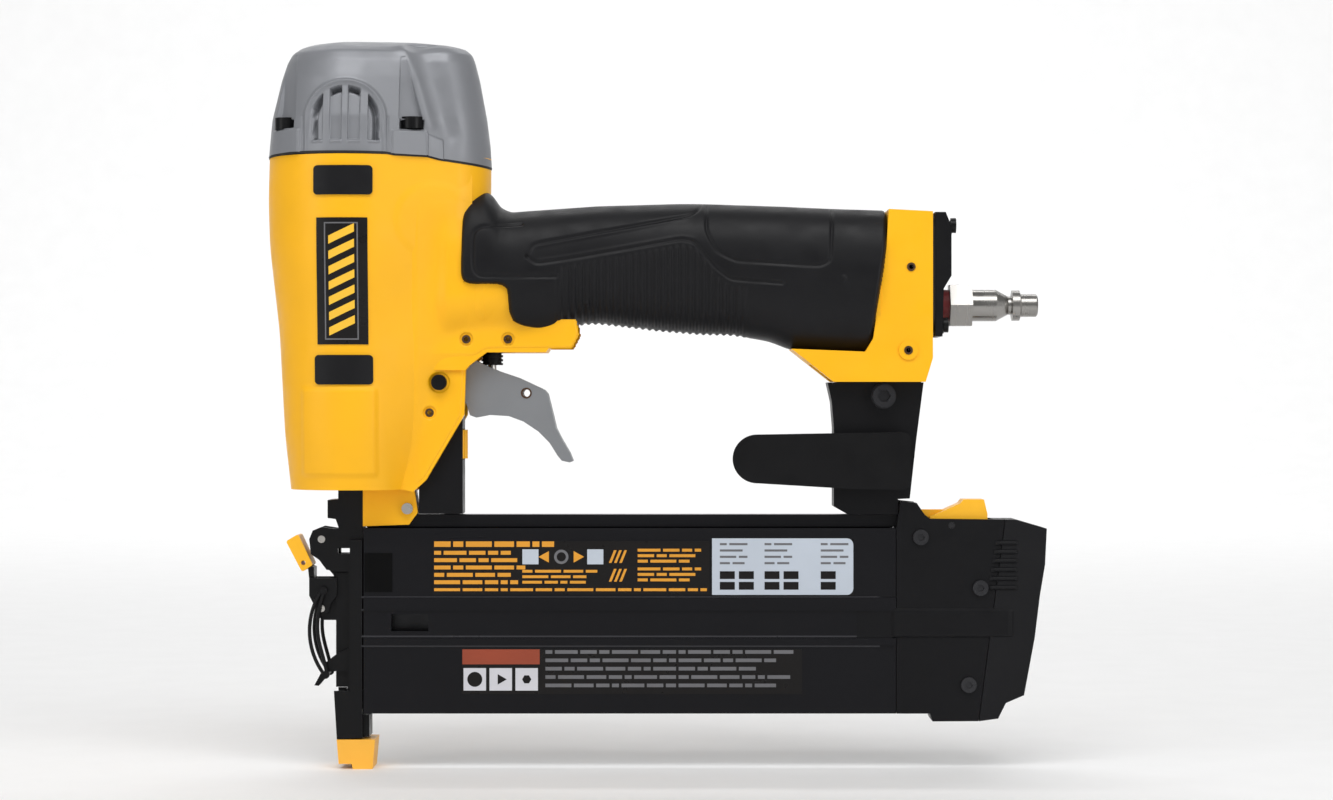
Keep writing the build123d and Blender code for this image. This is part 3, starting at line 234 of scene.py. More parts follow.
def hull_ring(front, rear, back, arc_points, line_points):
    """Plan outline of two circles joined by tangents, as (x, y) from the rear round the front."""
    centre = back - rear
    tangent = math.acos(max(-1, min(1, (front - rear) / max(centre, 1e-6))))
    rear_angles = np.linspace(-tangent, tangent, arc_points // 3, endpoint=False)
    front_angles = np.linspace(tangent, 2 * math.pi - tangent, arc_points, endpoint=False)
    upper = np.linspace(0, 1, line_points, endpoint=False)
    rear_end = np.array([centre + rear * math.cos(tangent), rear * math.sin(tangent)])
    front_end = np.array([front * math.cos(tangent), front * math.sin(tangent)])
    flip = np.array([1, -1])
    return np.concatenate([
        np.stack([centre + rear * np.cos(rear_angles), rear * np.sin(rear_angles)], axis=1),
        rear_end + upper[:, None] * (front_end - rear_end),
        np.stack([front * np.cos(front_angles), front * np.sin(front_angles)], axis=1),
        front_end * flip + upper[:, None] * (rear_end - front_end) * flip,
    ])


def grid_normals(points):
    """Outward unit normals of a grid whose second index goes round and whose first goes up."""
    round_way = np.roll(points, -1, axis=1) - np.roll(points, 1, axis=1)
    up_way = np.gradient(points, axis=0)
    normals = np.cross(round_way, up_way)
    length = np.linalg.norm(normals, axis=2, keepdims=True)
    return normals / np.maximum(length, 1e-9)


def grid_faces(rows, columns, keep=None):
    """Quads of a grid that closes round its columns, leaving out quads with no kept corner."""
    top = np.arange(rows - 1)[:, None] * columns
    across = np.arange(columns)[None, :]
    right = (across + 1) % columns
    quads = np.stack([top + across, top + right, top + columns + right, top + columns + across], axis=2)
    quads = quads.reshape(-1, 4)
    if keep is not None:
        quads = quads[keep.reshape(-1)[quads].all(axis=1)]
    return quads


def add_grid(name, points, slot, body, keep=None):
    """A sculpted skin from a grid of points in millimetres."""
    rows, columns = points.shape[:2]
    faces = grid_faces(rows, columns, keep)
    used = np.unique(faces)
    renumber = np.full(rows * columns, -1)
    renumber[used] = np.arange(len(used))
    vertices = points.reshape(-1, 3)[used]
    return add_piece(name, vertices, renumber[faces].tolist(), slot, body)


def ease(value, low, high):
    """0 below low, 1 above high, and an S-curve between them."""
    t = np.clip((value - low) / (high - low), 0, 1)
    return t * t * (3 - 2 * t)


def patch(x, z, x_span, z_span, edge):
    """1 inside a rectangle of the side view, falling to 0 over the edge width."""
    across = ease(x, x_span[0] - edge, x_span[0] + edge) * (1 - ease(x, x_span[1] - edge, x_span[1] + edge))
    up = ease(z, z_span[0] - edge, z_span[0] + edge) * (1 - ease(z, z_span[1] - edge, z_span[1] + edge))
    return across * up


def line_distance(x, z, points):
    """Distance in the side view from each (x, z) to a polyline."""
    best = np.full(x.shape, 1e9)
    for (ax, az), (bx, bz) in zip(points[:-1], points[1:]):
        span_x, span_z = bx - ax, bz - az
        t = np.clip(((x - ax) * span_x + (z - az) * span_z) / (span_x ** 2 + span_z ** 2), 0, 1)
        best = np.minimum(best, np.hypot(x - ax - t * span_x, z - az - t * span_z))
    return best


def round_line(points, softness=1.6, spacing=0.8):
    """A polyline with its corners rounded."""
    keys = np.asarray(points, dtype=float)
    length = np.linalg.norm(np.diff(keys, axis=0), axis=1).sum()
    return smooth_rows(keys, max(12, int(length / spacing)), softness)


def groove(x, z, points, width):
    """1 on a line of the side view, falling away to each side."""
    return np.exp(-(line_distance(x, z, round_line(points)) / width) ** 2)


def inside_outline(x, z, points):
    """True where (x, z) lies inside a closed outline."""
    result = np.zeros(x.shape, dtype=bool)
    for (ax, az), (bx, bz) in zip(points, list(points[1:]) + [points[0]]):
        crosses = (az > z) != (bz > z)
        with np.errstate(divide="ignore", invalid="ignore"):
            at = (bx - ax) * (z - az) / (bz - az) + ax
        result ^= crosses & (x < at)
    return result


# ---------------------------------------------------------------- grey cap
# rows of (height, front radius, rear radius, rearmost x) from the seam to the crown
CAP_ROWS = (
    (212.6, 28.4, 17.3, 48.7), (225.4, 27.2, 16.4, 47.1), (239.0, 23.9, 14.4, 44.6),
    (245.0, 21.9, 13.2, 43.1), (248.0, 20.2, 12.0, 42.0),
    (249.8, 17.6, 10.5, 40.0), (250.8, 14.5, 9.5, 36.0), (251.7, 9.5, 7.5, 27.0),
    (252.3, 5.0, 4.5, 14.0), (252.5, 0.6, 0.6, 3.0),
)
# (x, height) of the joint between cap and body
SEAM_KEYS = (
    (-30.0, 212.2), (-18.0, 212.8), (14.0, 212.6), (17.0, 212.1), (28.0, 211.8), (32.0, 210.8), (49.0, 208.7),
)
ARCH_X = 0.2
ARCH_Z = 223.8
SLOTS = ((-9.3, 1.75), (-3.0, 2.05), (3.4, 2.05), (10.1, 1.85))      # (centre x, half width)


def seam_height(x):
    """Height of the line where the cap meets the body, which steps down to the rear."""
    keys = np.array(SEAM_KEYS)
    return np.interp(x, keys[:, 0], keys[:, 1])


def flute(x, z, sharp_x, low_x, top_x, top_z):
    """A screwdriver flute with one sharp edge and one edge that leans in towards the top."""
    lean = low_x + (top_x - low_x) * np.clip((z - 225.0) / (top_z - 225.0), 0, 1.3)
    left = np.minimum(sharp_x, lean)
    right = np.maximum(sharp_x, lean)
    across = ease(x - left, -0.15, 0.35) * (1 - ease(x - right, -0.35, 0.15))
    fall = 1 - ease(z, 226.0, top_z)
    return -across * ease(z, 224.2, 224.8) * (0.15 + 1.75 * fall) * (z < top_z + 0.5)


def cap_relief(x, z, outward):
    """Height of the cap's moulded features over its plain surface, in millimetres."""
    relief = np.zeros(x.shape)
    reach = np.hypot(x - ARCH_X, np.maximum(z - ARCH_Z, 0))
    # exhaust window: arch rim, sunk panel and louvre slots whose tops follow the arch
    relief += 0.65 * np.exp(-((reach - 13.3) / 0.75) ** 2) * ease(z, 216.0, 226.0)
    relief -= 0.45 * (1 - ease(reach, 12.6, 13.4))
    relief -= 0.35 * patch(x, z, (-14.6, 14.9), (205, 225), 0.25) * ease(reach, 13.6, 14.4)
    for centre, half in SLOTS:
        off = x - centre
        within = ease(off, -half - 0.14, -half + 0.14) * (1 - ease(off, half - 0.14, half + 0.14))
        within = within * ease(z, 216.75, 217.05) * (1 - ease(reach, 11.75, 12.0))
        edge = 12.0 - reach
        relief -= within * (1.0 + 2.8 * (1 - ease(edge, 0.6, 2.6)))
        relief += 0.35 * patch(x, z, (centre - half, centre + half), (215.9, 216.7), 0.2)
    # flutes over the screws, screw slots, and the shelf pads below them
    relief += flute(x, z, -17.2, -24.6, -21.0, 246.5)
    relief += flute(x, z, 18.4, 26.0, 20.4, 245.5)
    relief -= 3.4 * patch(x, z, (-25.5, -17.7), (221.5, 224.6), 0.18)
    relief -= 3.4 * patch(x, z, (18.7, 26.6), (220.9, 224.1), 0.18)
    relief += 0.9 * patch(x, z, (-40.0, -15.4), (200, 220.7), 0.2)
    relief += 0.9 * patch(x, z, (16.0, 27.8), (200, 220.2), 0.2)
    relief += 0.55 * patch(x, z + 0.35 * np.maximum(x - 28, 0), (27.4, 33.2), (200, 219.2), 0.25)
    # crest and valley that set off the rear duct
    crest = line_distance(x, z, round_line([(17.5, 251), (20.2, 247.5), (24.0, 238.0), (28.6, 222.0)]))
    valley = line_distance(x, z, round_line([(23.5, 252), (26.5, 247.0), (31.0, 234.0), (35.0, 219.5)]))
    relief += 0.55 * np.exp(-(crest / 1.9) ** 2)
    relief -= 1.0 * np.exp(-(valley / 3.8) ** 2)
    return relief * outward


cap_keys = smooth_rows(CAP_ROWS, 230, 0.6)
cap_grid = []
for height, front, rear, back in cap_keys:
    ring = hull_ring(max(front, 0.3), max(rear, 0.3), back, 460, 130)
    seam = seam_height(ring[:, 0])
    level = np.where(height < 216.5, seam + (height - 212.6) / 3.9 * (216.5 - seam), height)
    cap_grid.append(np.column_stack([ring, level]))
cap_grid = np.array(cap_grid)
cap_normals = grid_normals(cap_grid)
# side features fade out where the surface turns to the front, the rear and the crown
sideways = ease(np.abs(cap_normals[..., 1]), 0.22, 0.5)
cap_height = cap_relief(cap_grid[..., 0], cap_grid[..., 2], sideways) + 0.30
cap_points = cap_grid + cap_normals * cap_height[..., None]
crown = np.broadcast_to(cap_points[-1].mean(axis=0), cap_points[-1:].shape)
cap_points = np.concatenate([cap_points, crown])
cap_skin = add_grid("cap_skin", cap_points, "grey_cap", "housing")
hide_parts("cylinder_cap")

# dark joint line under the cap's edge
seam_ring = hull_ring(CAP_ROWS[0][1] + 0.35, CAP_ROWS[0][2] + 0.35, CAP_ROWS[0][3] + 0.35, 460, 130)
seam_grid = np.array([
    np.column_stack([seam_ring * (1 - 0.004 * (drop > 0.2)), seam_height(seam_ring[:, 0]) - drop])
    for drop in (-0.3, 0.0, 0.3, 0.5)])
add_grid("seam_ribbon", seam_grid, "seal_rubber", "housing")

# ---------------------------------------------------------------- yellow body skin
# rows of (height, front radius, rear radius, rearmost x), and the skin's outline in the side view
BODY_ROWS = (
    (97.0, 20.9, 11.5, 23.4), (116.0, 23.0, 12.5, 30.0), (152.0, 24.9, 13.5, 40.5),
    (181.0, 28.2, 15.5, 45.0), (197.0, 28.7, 17.3, 48.6), (212.0, 28.3, 17.3, 48.7),
)
BODY_OUTLINE = (
    (-40, 212.1), (-40, 90), (22.0, 90), (22.3, 97.2), (26.6, 100.6), (39.6, 122.8), (40.2, 138.3),
    (41.9, 141), (47.6, 145), (60, 145.5), (60, 166), (49.5, 200), (60, 212.1),
)


def body_relief(x, z):
    """Soft moulded shapes on the sides of the yellow body, in millimetres."""
    relief = 0.7 * patch(x, z, (-15.0, 10.3), (102.0, 132.0), 1.3)
    relief += 0.25 * ease(np.hypot(x - 30, z - 190), 14.0, 11.0)
    return relief


POCKET_HALF_Y = 7.3
POCKET_FRONT_X = 20.0
POCKET_TOP_Z = 139.0
body_keys = smooth_rows(BODY_ROWS, 300, 2.5)
body_grid = []
for height, front, rear, back in body_keys:
    ring = hull_ring(front + 0.12, rear + 0.12, back + 0.12, 260, 90)
    body_grid.append(np.column_stack([ring, np.full(len(ring), height)]))
body_grid = np.array(body_grid)
body_normals = grid_normals(body_grid)
body_side = ease(np.abs(body_normals[..., 1]), 0.35, 0.6)
body_height = body_relief(body_grid[..., 0], body_grid[..., 2]) * body_side
body_points = body_grid + body_normals * body_height[..., None]
body_keep = inside_outline(body_grid[..., 0], body_grid[..., 2], BODY_OUTLINE)
# the skin leaves the pocket of the trigger and the contact trip's rod open
pocket = np.abs(body_grid[..., 1]) < POCKET_HALF_Y
pocket &= (body_grid[..., 0] > POCKET_FRONT_X) & (body_grid[..., 2] < POCKET_TOP_Z)
add_grid("body_skin", body_points, "yellow_casting", "housing", body_keep & ~pocket)


# ---------------------------------------------------------------- smooth flanks behind the cylinder
# (height, half width) of the flat cheeks, stepping out to the trigger bracket
FLANK_FLATS = ((90.0, 11.2), (139.0, 11.2), (144.0, 12.7), (206.0, 12.7))
# (x, bottom, top, half width) of the handle core where it leaves the cylinder
FLANK_HANDLE = ((34.0, 147.5, 197.0, 17.2), (58.0, 149.5, 192.5, 17.0), (80.5, 152.0, 193.0, 16.0))
FLANK_BLEND = 4.0
# (x, z, radius) of the pins that show through the skin
FLANK_PINS = ((40.8, 149.0, 1.6), (55.2, 149.0, 1.6), (28.0, 123.6, 1.6), (31.4, 134.1, 2.8))
FLANK_EDGE = (
    (22.0, 90.0), (22.0, 97.2), (26.6, 100.6), (39.6, 122.8), (40.2, 138.3), (41.9, 141.2), (47.6, 145.2),
    (77.4, 145.4), (80.0, 150.5), (79.0, 156.0),
)
FLANK_OUTLINE = FLANK_EDGE + (
    (60.0, 156.0), (58.0, 170.0), (43.0, 173.0), (43.0, 206.0), (20.0, 206.0), (20.0, 90.0),
)


def hull_y(x, row):
    """Half width of the body's plan outline at x, for one (height, front, rear, back) row."""
    front, rear, back = row[1:]
    centre = back - rear
    tangent = math.acos((front - rear) / centre)
    start = front * math.cos(tangent)
    end = centre + rear * math.cos(tangent)
    straight = np.interp(x, (start, end), (front * math.sin(tangent), rear * math.sin(tangent)))
    head = np.sqrt(np.maximum(front ** 2 - x ** 2, 0.0))
    tail = np.sqrt(np.maximum(rear ** 2 - (x - centre) ** 2, 0.0))
    return np.where(x < start, head, np.where(x < end, straight, tail))


def soft_max(first, second, blend):
    """The larger of two heights with the crease between them rounded."""
    return (first + second + np.sqrt((first - second) ** 2 + blend ** 2)) / 2


def flank_skins():
    """One smooth skin on each side that runs the cylinder into the trigger bracket."""
    x = np.linspace(20.0, 80.5, 170)
    z = np.linspace(97.0, 206.0, 240)
    gx, gz = np.meshgrid(x, z)
    keys = np.array(body_keys)
    rows = np.stack([np.interp(z, keys[:, 0], keys[:, k]) for k in range(4)], axis=1)
    hull = np.array([hull_y(x, row) for row in rows]) + 0.12
    flats = np.array(FLANK_FLATS)
    handle = np.array(FLANK_HANDLE)
    low, high, half = (np.interp(gx, handle[:, 0], handle[:, k]) for k in (1, 2, 3))
    past = np.maximum(np.abs(gz - (low + high) / 2) - (high - low) / 2 + half, 0) / half
    core = half * np.sqrt(np.maximum(1 - past ** 2, 0)) - 9.0 * (1 - ease(gx, 22.0, 35.5))
    width = soft_max(np.maximum(hull, 1.0), core, FLANK_BLEND)
    width = soft_max(width, np.interp(gz, flats[:, 0], flats[:, 1]), 1.6)
    for pin_x, pin_z, radius in FLANK_PINS:
        width -= 1.8 * (1 - ease(np.hypot(gx - pin_x, gz - pin_z), radius, radius + 0.7))
    width -= 0.9 * (1 - ease(gx, 20.0, 25.0)) + 0.7 * ease(gz, 196.0, 205.0)
    inside = inside_outline(gx, gz, FLANK_OUTLINE)
    far = line_distance(gx, gz, round_line(FLANK_EDGE, 1.0))
    roll = np.clip(np.where(inside, far, 0) / 1.3, 0, 1)
    width -= 1.6 * (1 - np.sqrt(1 - (1 - roll) ** 2))
    for side in (-1, 1):
        points = np.stack([gx, side * width, gz], axis=2).reshape(-1, 3)
        quads = [[a, a + 1, a + 1 + len(x), a + len(x)] for row in range(len(z) - 1)
                 for a in range(row * len(x), row * len(x) + len(x) - 1)]
        kept = inside.reshape(-1)
        quads = [q if side < 0 else q[::-1] for q in quads if all(kept[corner] for corner in q)]
        used = sorted({corner for q in quads for corner in q})
        renumber = {corner: k for k, corner in enumerate(used)}
        faces = [[renumber[corner] for corner in q] for q in quads]
        name = "flank_skin_near" if side < 0 else "flank_skin_far"
        add_piece(name, points[used], faces, "yellow_casting", "housing")


flank_skins()


# ---------------------------------------------------------------- flank label
def flank_y(x, z, proud):
    """Distance from the middle plane to the body's flank, where its plan is still the front circle."""
    keys = np.array(body_keys)
    return np.sqrt((np.interp(z, keys[:, 0], keys[:, 1]) + proud) ** 2 - x ** 2)


def flank_shapes(name, outlines, proud, slot):
    """Quads (four side-view corners each) laid on both flanks of the body as one piece."""
    vertices, faces = [], []
    across = np.linspace(0, 1, 13)
    for side in (-1, 1):
        for corners in outlines:
            low = np.array(corners[0])[None, :] + across[:, None] * (np.array(corners[1]) - corners[0])
            high = np.array(corners[3])[None, :] + across[:, None] * (np.array(corners[2]) - corners[3])
            rows = np.array([low + t * (high - low) for t in np.linspace(0, 1, 9)])
            first = len(vertices)
            for x, z in rows.reshape(-1, 2):
                vertices.append((x, side * flank_y(x, z, proud), z))
            for row in range(8):
                for column in range(12):
                    corner = first + row * 13 + column
                    quad = [corner, corner + 1, corner + 14, corner + 13]
                    faces.append(quad if side < 0 else quad[::-1])
    return add_piece(name, vertices, faces, slot, "housing")


def frame_quads(x, z, width):
    """Four bars that frame a side-view rectangle."""
    bars = [((x[0], x[1]), (z[0], z[0] + width)), ((x[0], x[1]), (z[1] - width, z[1])),
            ((x[0], x[0] + width), (z[0], z[1])), ((x[1] - width, x[1]), (z[0], z[1]))]
    return [((a[0], b[0]), (a[1], b[0]), (a[1], b[1]), (a[0], b[1])) for a, b in bars]


LABEL_CORNERS = ((-9.4, 147.0), (8.1, 147.0), (8.1, 190.2), (-9.4, 190.2))
LABEL_PROUD = 0.45
PRINT_PROUD = 0.52
label_plate = flank_shapes("label_plate", [LABEL_CORNERS], LABEL_PROUD, "label_dark")
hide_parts("side_labels")
flank_shapes("label_frame", frame_quads((-6.7, 4.9), (148.6, 188.6), 0.45), PRINT_PROUD, "print_dim")
stripe_heights = np.arange(150.0, 181.5, 5.2)
slanted = [((-5.2, z), (3.6, z + 4.2), (3.6, z + 7.0), (-5.2, z + 2.8)) for z in stripe_heights]
flank_shapes("label_stripes", slanted, PRINT_PROUD, "print_yellow")

# ---------------------------------------------------------------- rubber grip
# side-view lines of the grip: its top, its bottom and its half width along x, then its open ends
GRIP_TOP = (
    (36, 196.0), (38.9, 198.2), (42.3, 200.6), (47.4, 200.9), (49.6, 199.0), (52.3, 195.0), (55.9, 193.4),
    (60.5, 193.8), (85.9, 195.6), (113.2, 196.4), (122.1, 196.4), (149.6, 195.5), (167.6, 194.7),
    (190.0, 194.0),
)
GRIP_BOTTOM = (
    (36, 146.0), (58, 148.0), (70.5, 149.6), (74.9, 152.6), (79.6, 154.3), (85.9, 154.6), (107.7, 152.0),
    (122.0, 150.8), (133.0, 150.6), (146.0, 148.4), (153.2, 145.4), (178.7, 143.8), (190.0, 143.6),
)
GRIP_HALF = (
    (36, 19.0), (47, 20.4), (57, 19.9), (72, 18.6), (88, 17.4), (116, 17.0), (146, 17.0), (190, 16.5),
)
GRIP_FRONT_EDGE = (
    (38.9, 206), (38.9, 170.8), (40.0, 168.4), (42.3, 167.7), (53.1, 167.7), (55.3, 166.0), (55.9, 157.5),
    (57.2, 154.0), (60.2, 152.6), (68.0, 151.0), (79.8, 150.2), (80.5, 140.0),
)
GRIP_REAR_EDGE = (
    (187.2, 206.0), (186.8, 194.0), (185.9, 180), (184, 167.6), (181.4, 149.3), (181.2, 146.0),
    (181.2, 140.0),
)
GRIP_OUTLINE = GRIP_FRONT_EDGE + ((150.0, 140.0),) + GRIP_REAR_EDGE[::-1]
EDGE_ROUND = 1.8
RIB_PITCH = 2.36

# lines pressed into the sides of the grip
SWOOSH_TOP = (
    (62.0, 177.5), (64.0, 181.5), (76.3, 183.9), (97.0, 187.8), (118.2, 191.9), (121.0, 193.4),
    (122.2, 196.5),
)
SWOOSH_LOW = (
    (62.0, 177.5), (65.0, 174.8), (76.3, 176.5), (97.0, 180.2), (115.0, 183.6), (119.5, 182.8),
    (126.0, 174.4), (132.0, 169.5), (150.0, 168.2),
)
REAR_PANEL = (
    (123.9, 197.5), (123.7, 186.5), (127.0, 179.4), (133.6, 176.0), (163.0, 174.2), (166.6, 176.0),
    (167.6, 197.5),
)
FRONT_PANEL = ((72.0, 170.4), (45.6, 170.4), (43.4, 172.6), (43.4, 185.4), (45.6, 187.6), (60.0, 188.6))


def swoosh_floor(x):
    """Height of the lower swoosh line, below which the finger ribs lie."""
    keys = np.array(SWOOSH_LOW)
    return np.interp(x, keys[:, 0], keys[:, 1])


def grip_relief(x, z):
    """Ribs, panel lines and dots on the sides of the grip, in millimetres."""
    rib_area = ease(x, 70.0, 76.0) * (1 - ease(x, 134.0, 140.0))
    rib_area = rib_area * (1 - ease(z - swoosh_floor(x), -3.2, -1.6))
    wave = np.cos(2 * math.pi * (x - 71.0) / RIB_PITCH)
    relief = 0.30 * rib_area * (np.abs(wave) ** 0.7 * np.sign(wave) - 0.4)
    for line in (SWOOSH_TOP, SWOOSH_LOW, REAR_PANEL, FRONT_PANEL):
        relief -= 0.55 * groove(x, z, line, 0.55)
    between = ease(z - swoosh_floor(x), 0.5, 2.0) * ease(x, 62, 66) * (1 - ease(x, 112, 124))
    top_keys = np.array(SWOOSH_TOP)
    between = between * (1 - ease(z - np.interp(x, top_keys[:, 0], top_keys[:, 1]), -2.0, -0.5))
    relief -= 0.25 * between
    for dot_x, dot_z in ((82.4, 161.2), (171.1, 170.0)):
        relief += 0.5 * np.exp(-(np.hypot(x - dot_x, z - dot_z) / 0.8) ** 2)
    return relief


grip_x = np.linspace(37.4, 188.4, 620)
grip_around = 420
angle = np.linspace(0, 2 * math.pi, grip_around, endpoint=False)
top_line = smooth_rows(GRIP_TOP, 700, 1.0)
low_line = smooth_rows(GRIP_BOTTOM, 700, 2.0)
half_line = smooth_rows(GRIP_HALF, 300, 4.0)
top_z = np.interp(grip_x, top_line[:, 0], top_line[:, 1])[:, None]
low_z = np.interp(grip_x, low_line[:, 0], low_line[:, 1])[:, None]
half_y = np.interp(grip_x, half_line[:, 0], half_line[:, 1])[:, None]
squareness = 2.0 / 2.5
round_y = np.sign(np.cos(angle)) * np.abs(np.cos(angle)) ** squareness
round_z = np.sign(np.sin(angle)) * np.abs(np.sin(angle)) ** squareness
grip_grid = np.stack([
    np.broadcast_to(grip_x[:, None], (len(grip_x), grip_around)),
    half_y * round_y[None, :],
    (top_z + low_z) / 2 + (top_z - low_z) / 2 * round_z[None, :],
], axis=2)
grip_normals = grid_normals(grip_grid)
if (grip_normals[300, 0, 1]) < 0:
    grip_normals = -grip_normals
gx, gz = grip_grid[..., 0], grip_grid[..., 2]
grip_in = inside_outline(gx, gz, GRIP_OUTLINE)
edge_far = np.minimum(line_distance(gx, gz, round_line(GRIP_FRONT_EDGE, 1.0)),
                      line_distance(gx, gz, round_line(GRIP_REAR_EDGE, 1.0)))
edge_far = np.where(grip_in, edge_far, -edge_far)
roll = np.clip(edge_far / EDGE_ROUND, 0, 1)
rounding = -2.9 * (1 - np.sqrt(1 - (1 - roll) ** 2))
side_weight = ease(np.abs(grip_normals[..., 1]), 0.05, 0.45)
under_rib = (1 - side_weight) * ease(-grip_normals[..., 2], 0.2, 0.6)
height_map = grip_relief(gx, gz) * np.maximum(side_weight, under_rib) + rounding
grip_points = grip_grid + grip_normals * height_map[..., None]
grip_skin = add_grid("grip_skin", grip_points, "black_rubber", "housing", edge_far > -0.35)
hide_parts("grip_sleeve")


# ---------------------------------------------------------------- printed panels
PRINT_Y = -8.22
OVER_Y = PRINT_Y - 0.03


def bar(group, x_span, z_span, y=PRINT_Y):
    """One printed rectangle facing the near side, added to a group of polygons."""
    (left, right), (low, high) = x_span, z_span
    group.append([(left, y, low), (right, y, low), (right, y, high), (left, y, high)])


def dashes(group, x_span, z, height, seed, y=PRINT_Y):
    """A line of short blocks of uneven length, filling the span."""
    x = x_span[0]
    step = seed
    while x < x_span[1] - 1.2:
        length = 2.4 + 1.1 * ((step * 5) % 7)
        bar(group, (x, min(x + length, x_span[1])), (z - height / 2, z + height / 2), y)
        x += length + 0.9
        step += 1


def disc(group, x, z, radius, sides=24, y=OVER_Y):
    turn = [2 * math.pi * k / sides for k in range(sides)]
    group.append([(x + radius * math.cos(a), y, z + radius * math.sin(a)) for a in turn])


def rounded_right(group, x_span, z_span, radius):
    """A rectangle whose two right corners are round."""
    (left, right), (low, high) = x_span, z_span
    outline = [(left, PRINT_Y, low)]
    corner_x = right - radius
    for corner_z, start in ((low + radius, -math.pi / 2), (high - radius, 0.0)):
        for turn in np.linspace(start, start + math.pi / 2, 8):
            outline.append((corner_x + radius * math.cos(turn), PRINT_Y, corner_z + radius * math.sin(turn)))
    outline.append((left, PRINT_Y, high))
    group.append(outline)


def add_print(name, polygons, slot, body):
    """Flat printed shapes as one piece."""
    vertices = [point for polygon in polygons for point in polygon]
    faces = []
    first = 0
    for polygon in polygons:
        faces.append(list(range(first, first + len(polygon))))
        first += len(polygon)
    return add_piece(name, vertices, faces, slot, body, smooth=False)


def magazine_prints():
    """Generic pattern bars, plates and symbols in place of the printed texts."""
    orange, pale, white, red, dim, dark = [], [], [], [], [], []
    # left block of pattern lines, with a heavier first line, and one long line under all blocks
    dashes(orange, (29.4, 71.0), 78.0, 1.9, 2)
    for row in range(5):
        dashes(orange, (29.4, 56.0 + 2.5 * (row % 3)), 75.0 - 2.55 * row, 1.35, row)
    dashes(orange, (29.4, 124.0), 62.2, 1.0, 4)
    # middle block: two pale squares, arrows and a ring, and small lines under them
    for x in (60.0, 82.5):
        bar(pale, (x, x + 5.6), (71.0, 76.2))
    for x, way in ((68.0, -1), (79.0, 1)):
        orange.append([(x + way * 2.4, PRINT_Y, 73.6), (x - way * 1.2, PRINT_Y, 71.6 if way > 0 else 75.6),
                       (x - way * 1.2, PRINT_Y, 75.6 if way > 0 else 71.6)])
    disc(dim, 73.5, 73.6, 2.5, y=PRINT_Y)
    disc(dark, 73.5, 73.6, 1.6)
    for row in range(3):
        dashes(orange, (60.0, 86.0 - 2.0 * row), 68.6 - 1.9 * row, 0.95, row + 3)
    # right block: two slanted marks and lines beside each
    for base in (71.5, 65.0):
        for k in range(3):
            x = 90.0 + 1.8 * k
            orange.append([(x, PRINT_Y, base), (x + 0.9, PRINT_Y, base), (x + 2.7, PRINT_Y, base + 4.4),
                           (x + 1.8, PRINT_Y, base + 4.4)])
        for row in range(3):
            dashes(orange, (100.0, 122.0 - 2.0 * row), base + 4.4 - 1.9 * row, 1.0, row + 1)
    # pale plate with dark boxes
    rounded_right(pale, (125.8, 174.8), (60.4, 80.0), 2.2)
    for x, count in ((128.5, 2), (144.0, 2), (163.5, 1)):
        for k in range(count):
            for z in (62.2, 65.9):
                bar(dark, (x + k * 6.6, x + k * 6.6 + 5.2), (z, z + 2.7), OVER_Y)
        for row in range(4):
            dashes(dim, (x, x + 9.6 - row % 2), 78.0 - 2.2 * row, 0.75, row, OVER_Y)
    # lower strip: header block, three symbol squares and grey pattern lines
    bar(red, (39.2, 66.0), (36.3, 41.5))
    for k, x in enumerate((39.6, 48.6, 57.6)):
        bar(white, (x, x + 7.8), (27.2, 35.0))
        disc(dark, x + 3.9, 31.1, 2.6 - 0.5 * k, sides=(24, 3, 6)[k])
    for row in range(5):
        dashes(dim, (68.0, 155.0 - 7.0 * (row % 3)), 40.6 - 2.9 * row, 1.25, row)
    # painted highlights: lighter flat bars along the extrusion's ridges; painted shade: the dark patch behind
    # the nose and two small dark dots
    ridge_highlights, shade = [], []
    for z in (59.6, 55.2, 46.0, 42.6):
        bar(ridge_highlights, (4.2, 184.0), (z - 0.28, z + 0.28))
    bar(shade, (5.2, 14.9), (61.4, 74.9))
    disc(shade, 6.7, 56.9, 0.8)
    disc(shade, 6.2, 44.7, 0.8)
    # channel_ridge_highlights carries painted highlights and channel_shades painted shade; the other groups
    # are print
    for name, shapes, slot in (
            ("print_orange_bars", orange, "print_orange"), ("print_pale_plates", pale, "print_pale"),
            ("print_white_squares", white, "print_white"), ("print_header", red, "print_red"),
            ("print_grey_bars", dim, "print_dim"), ("print_dark_boxes", dark, "label_dark"),
            ("channel_ridge_highlights", ridge_highlights, "ridge_highlight"), ("channel_shades", shade, "painted_shade")):
        add_print(name, shapes, slot, "magazine_slide")


TAIL_Y = -8.25
BUMPER_Y = -8.55


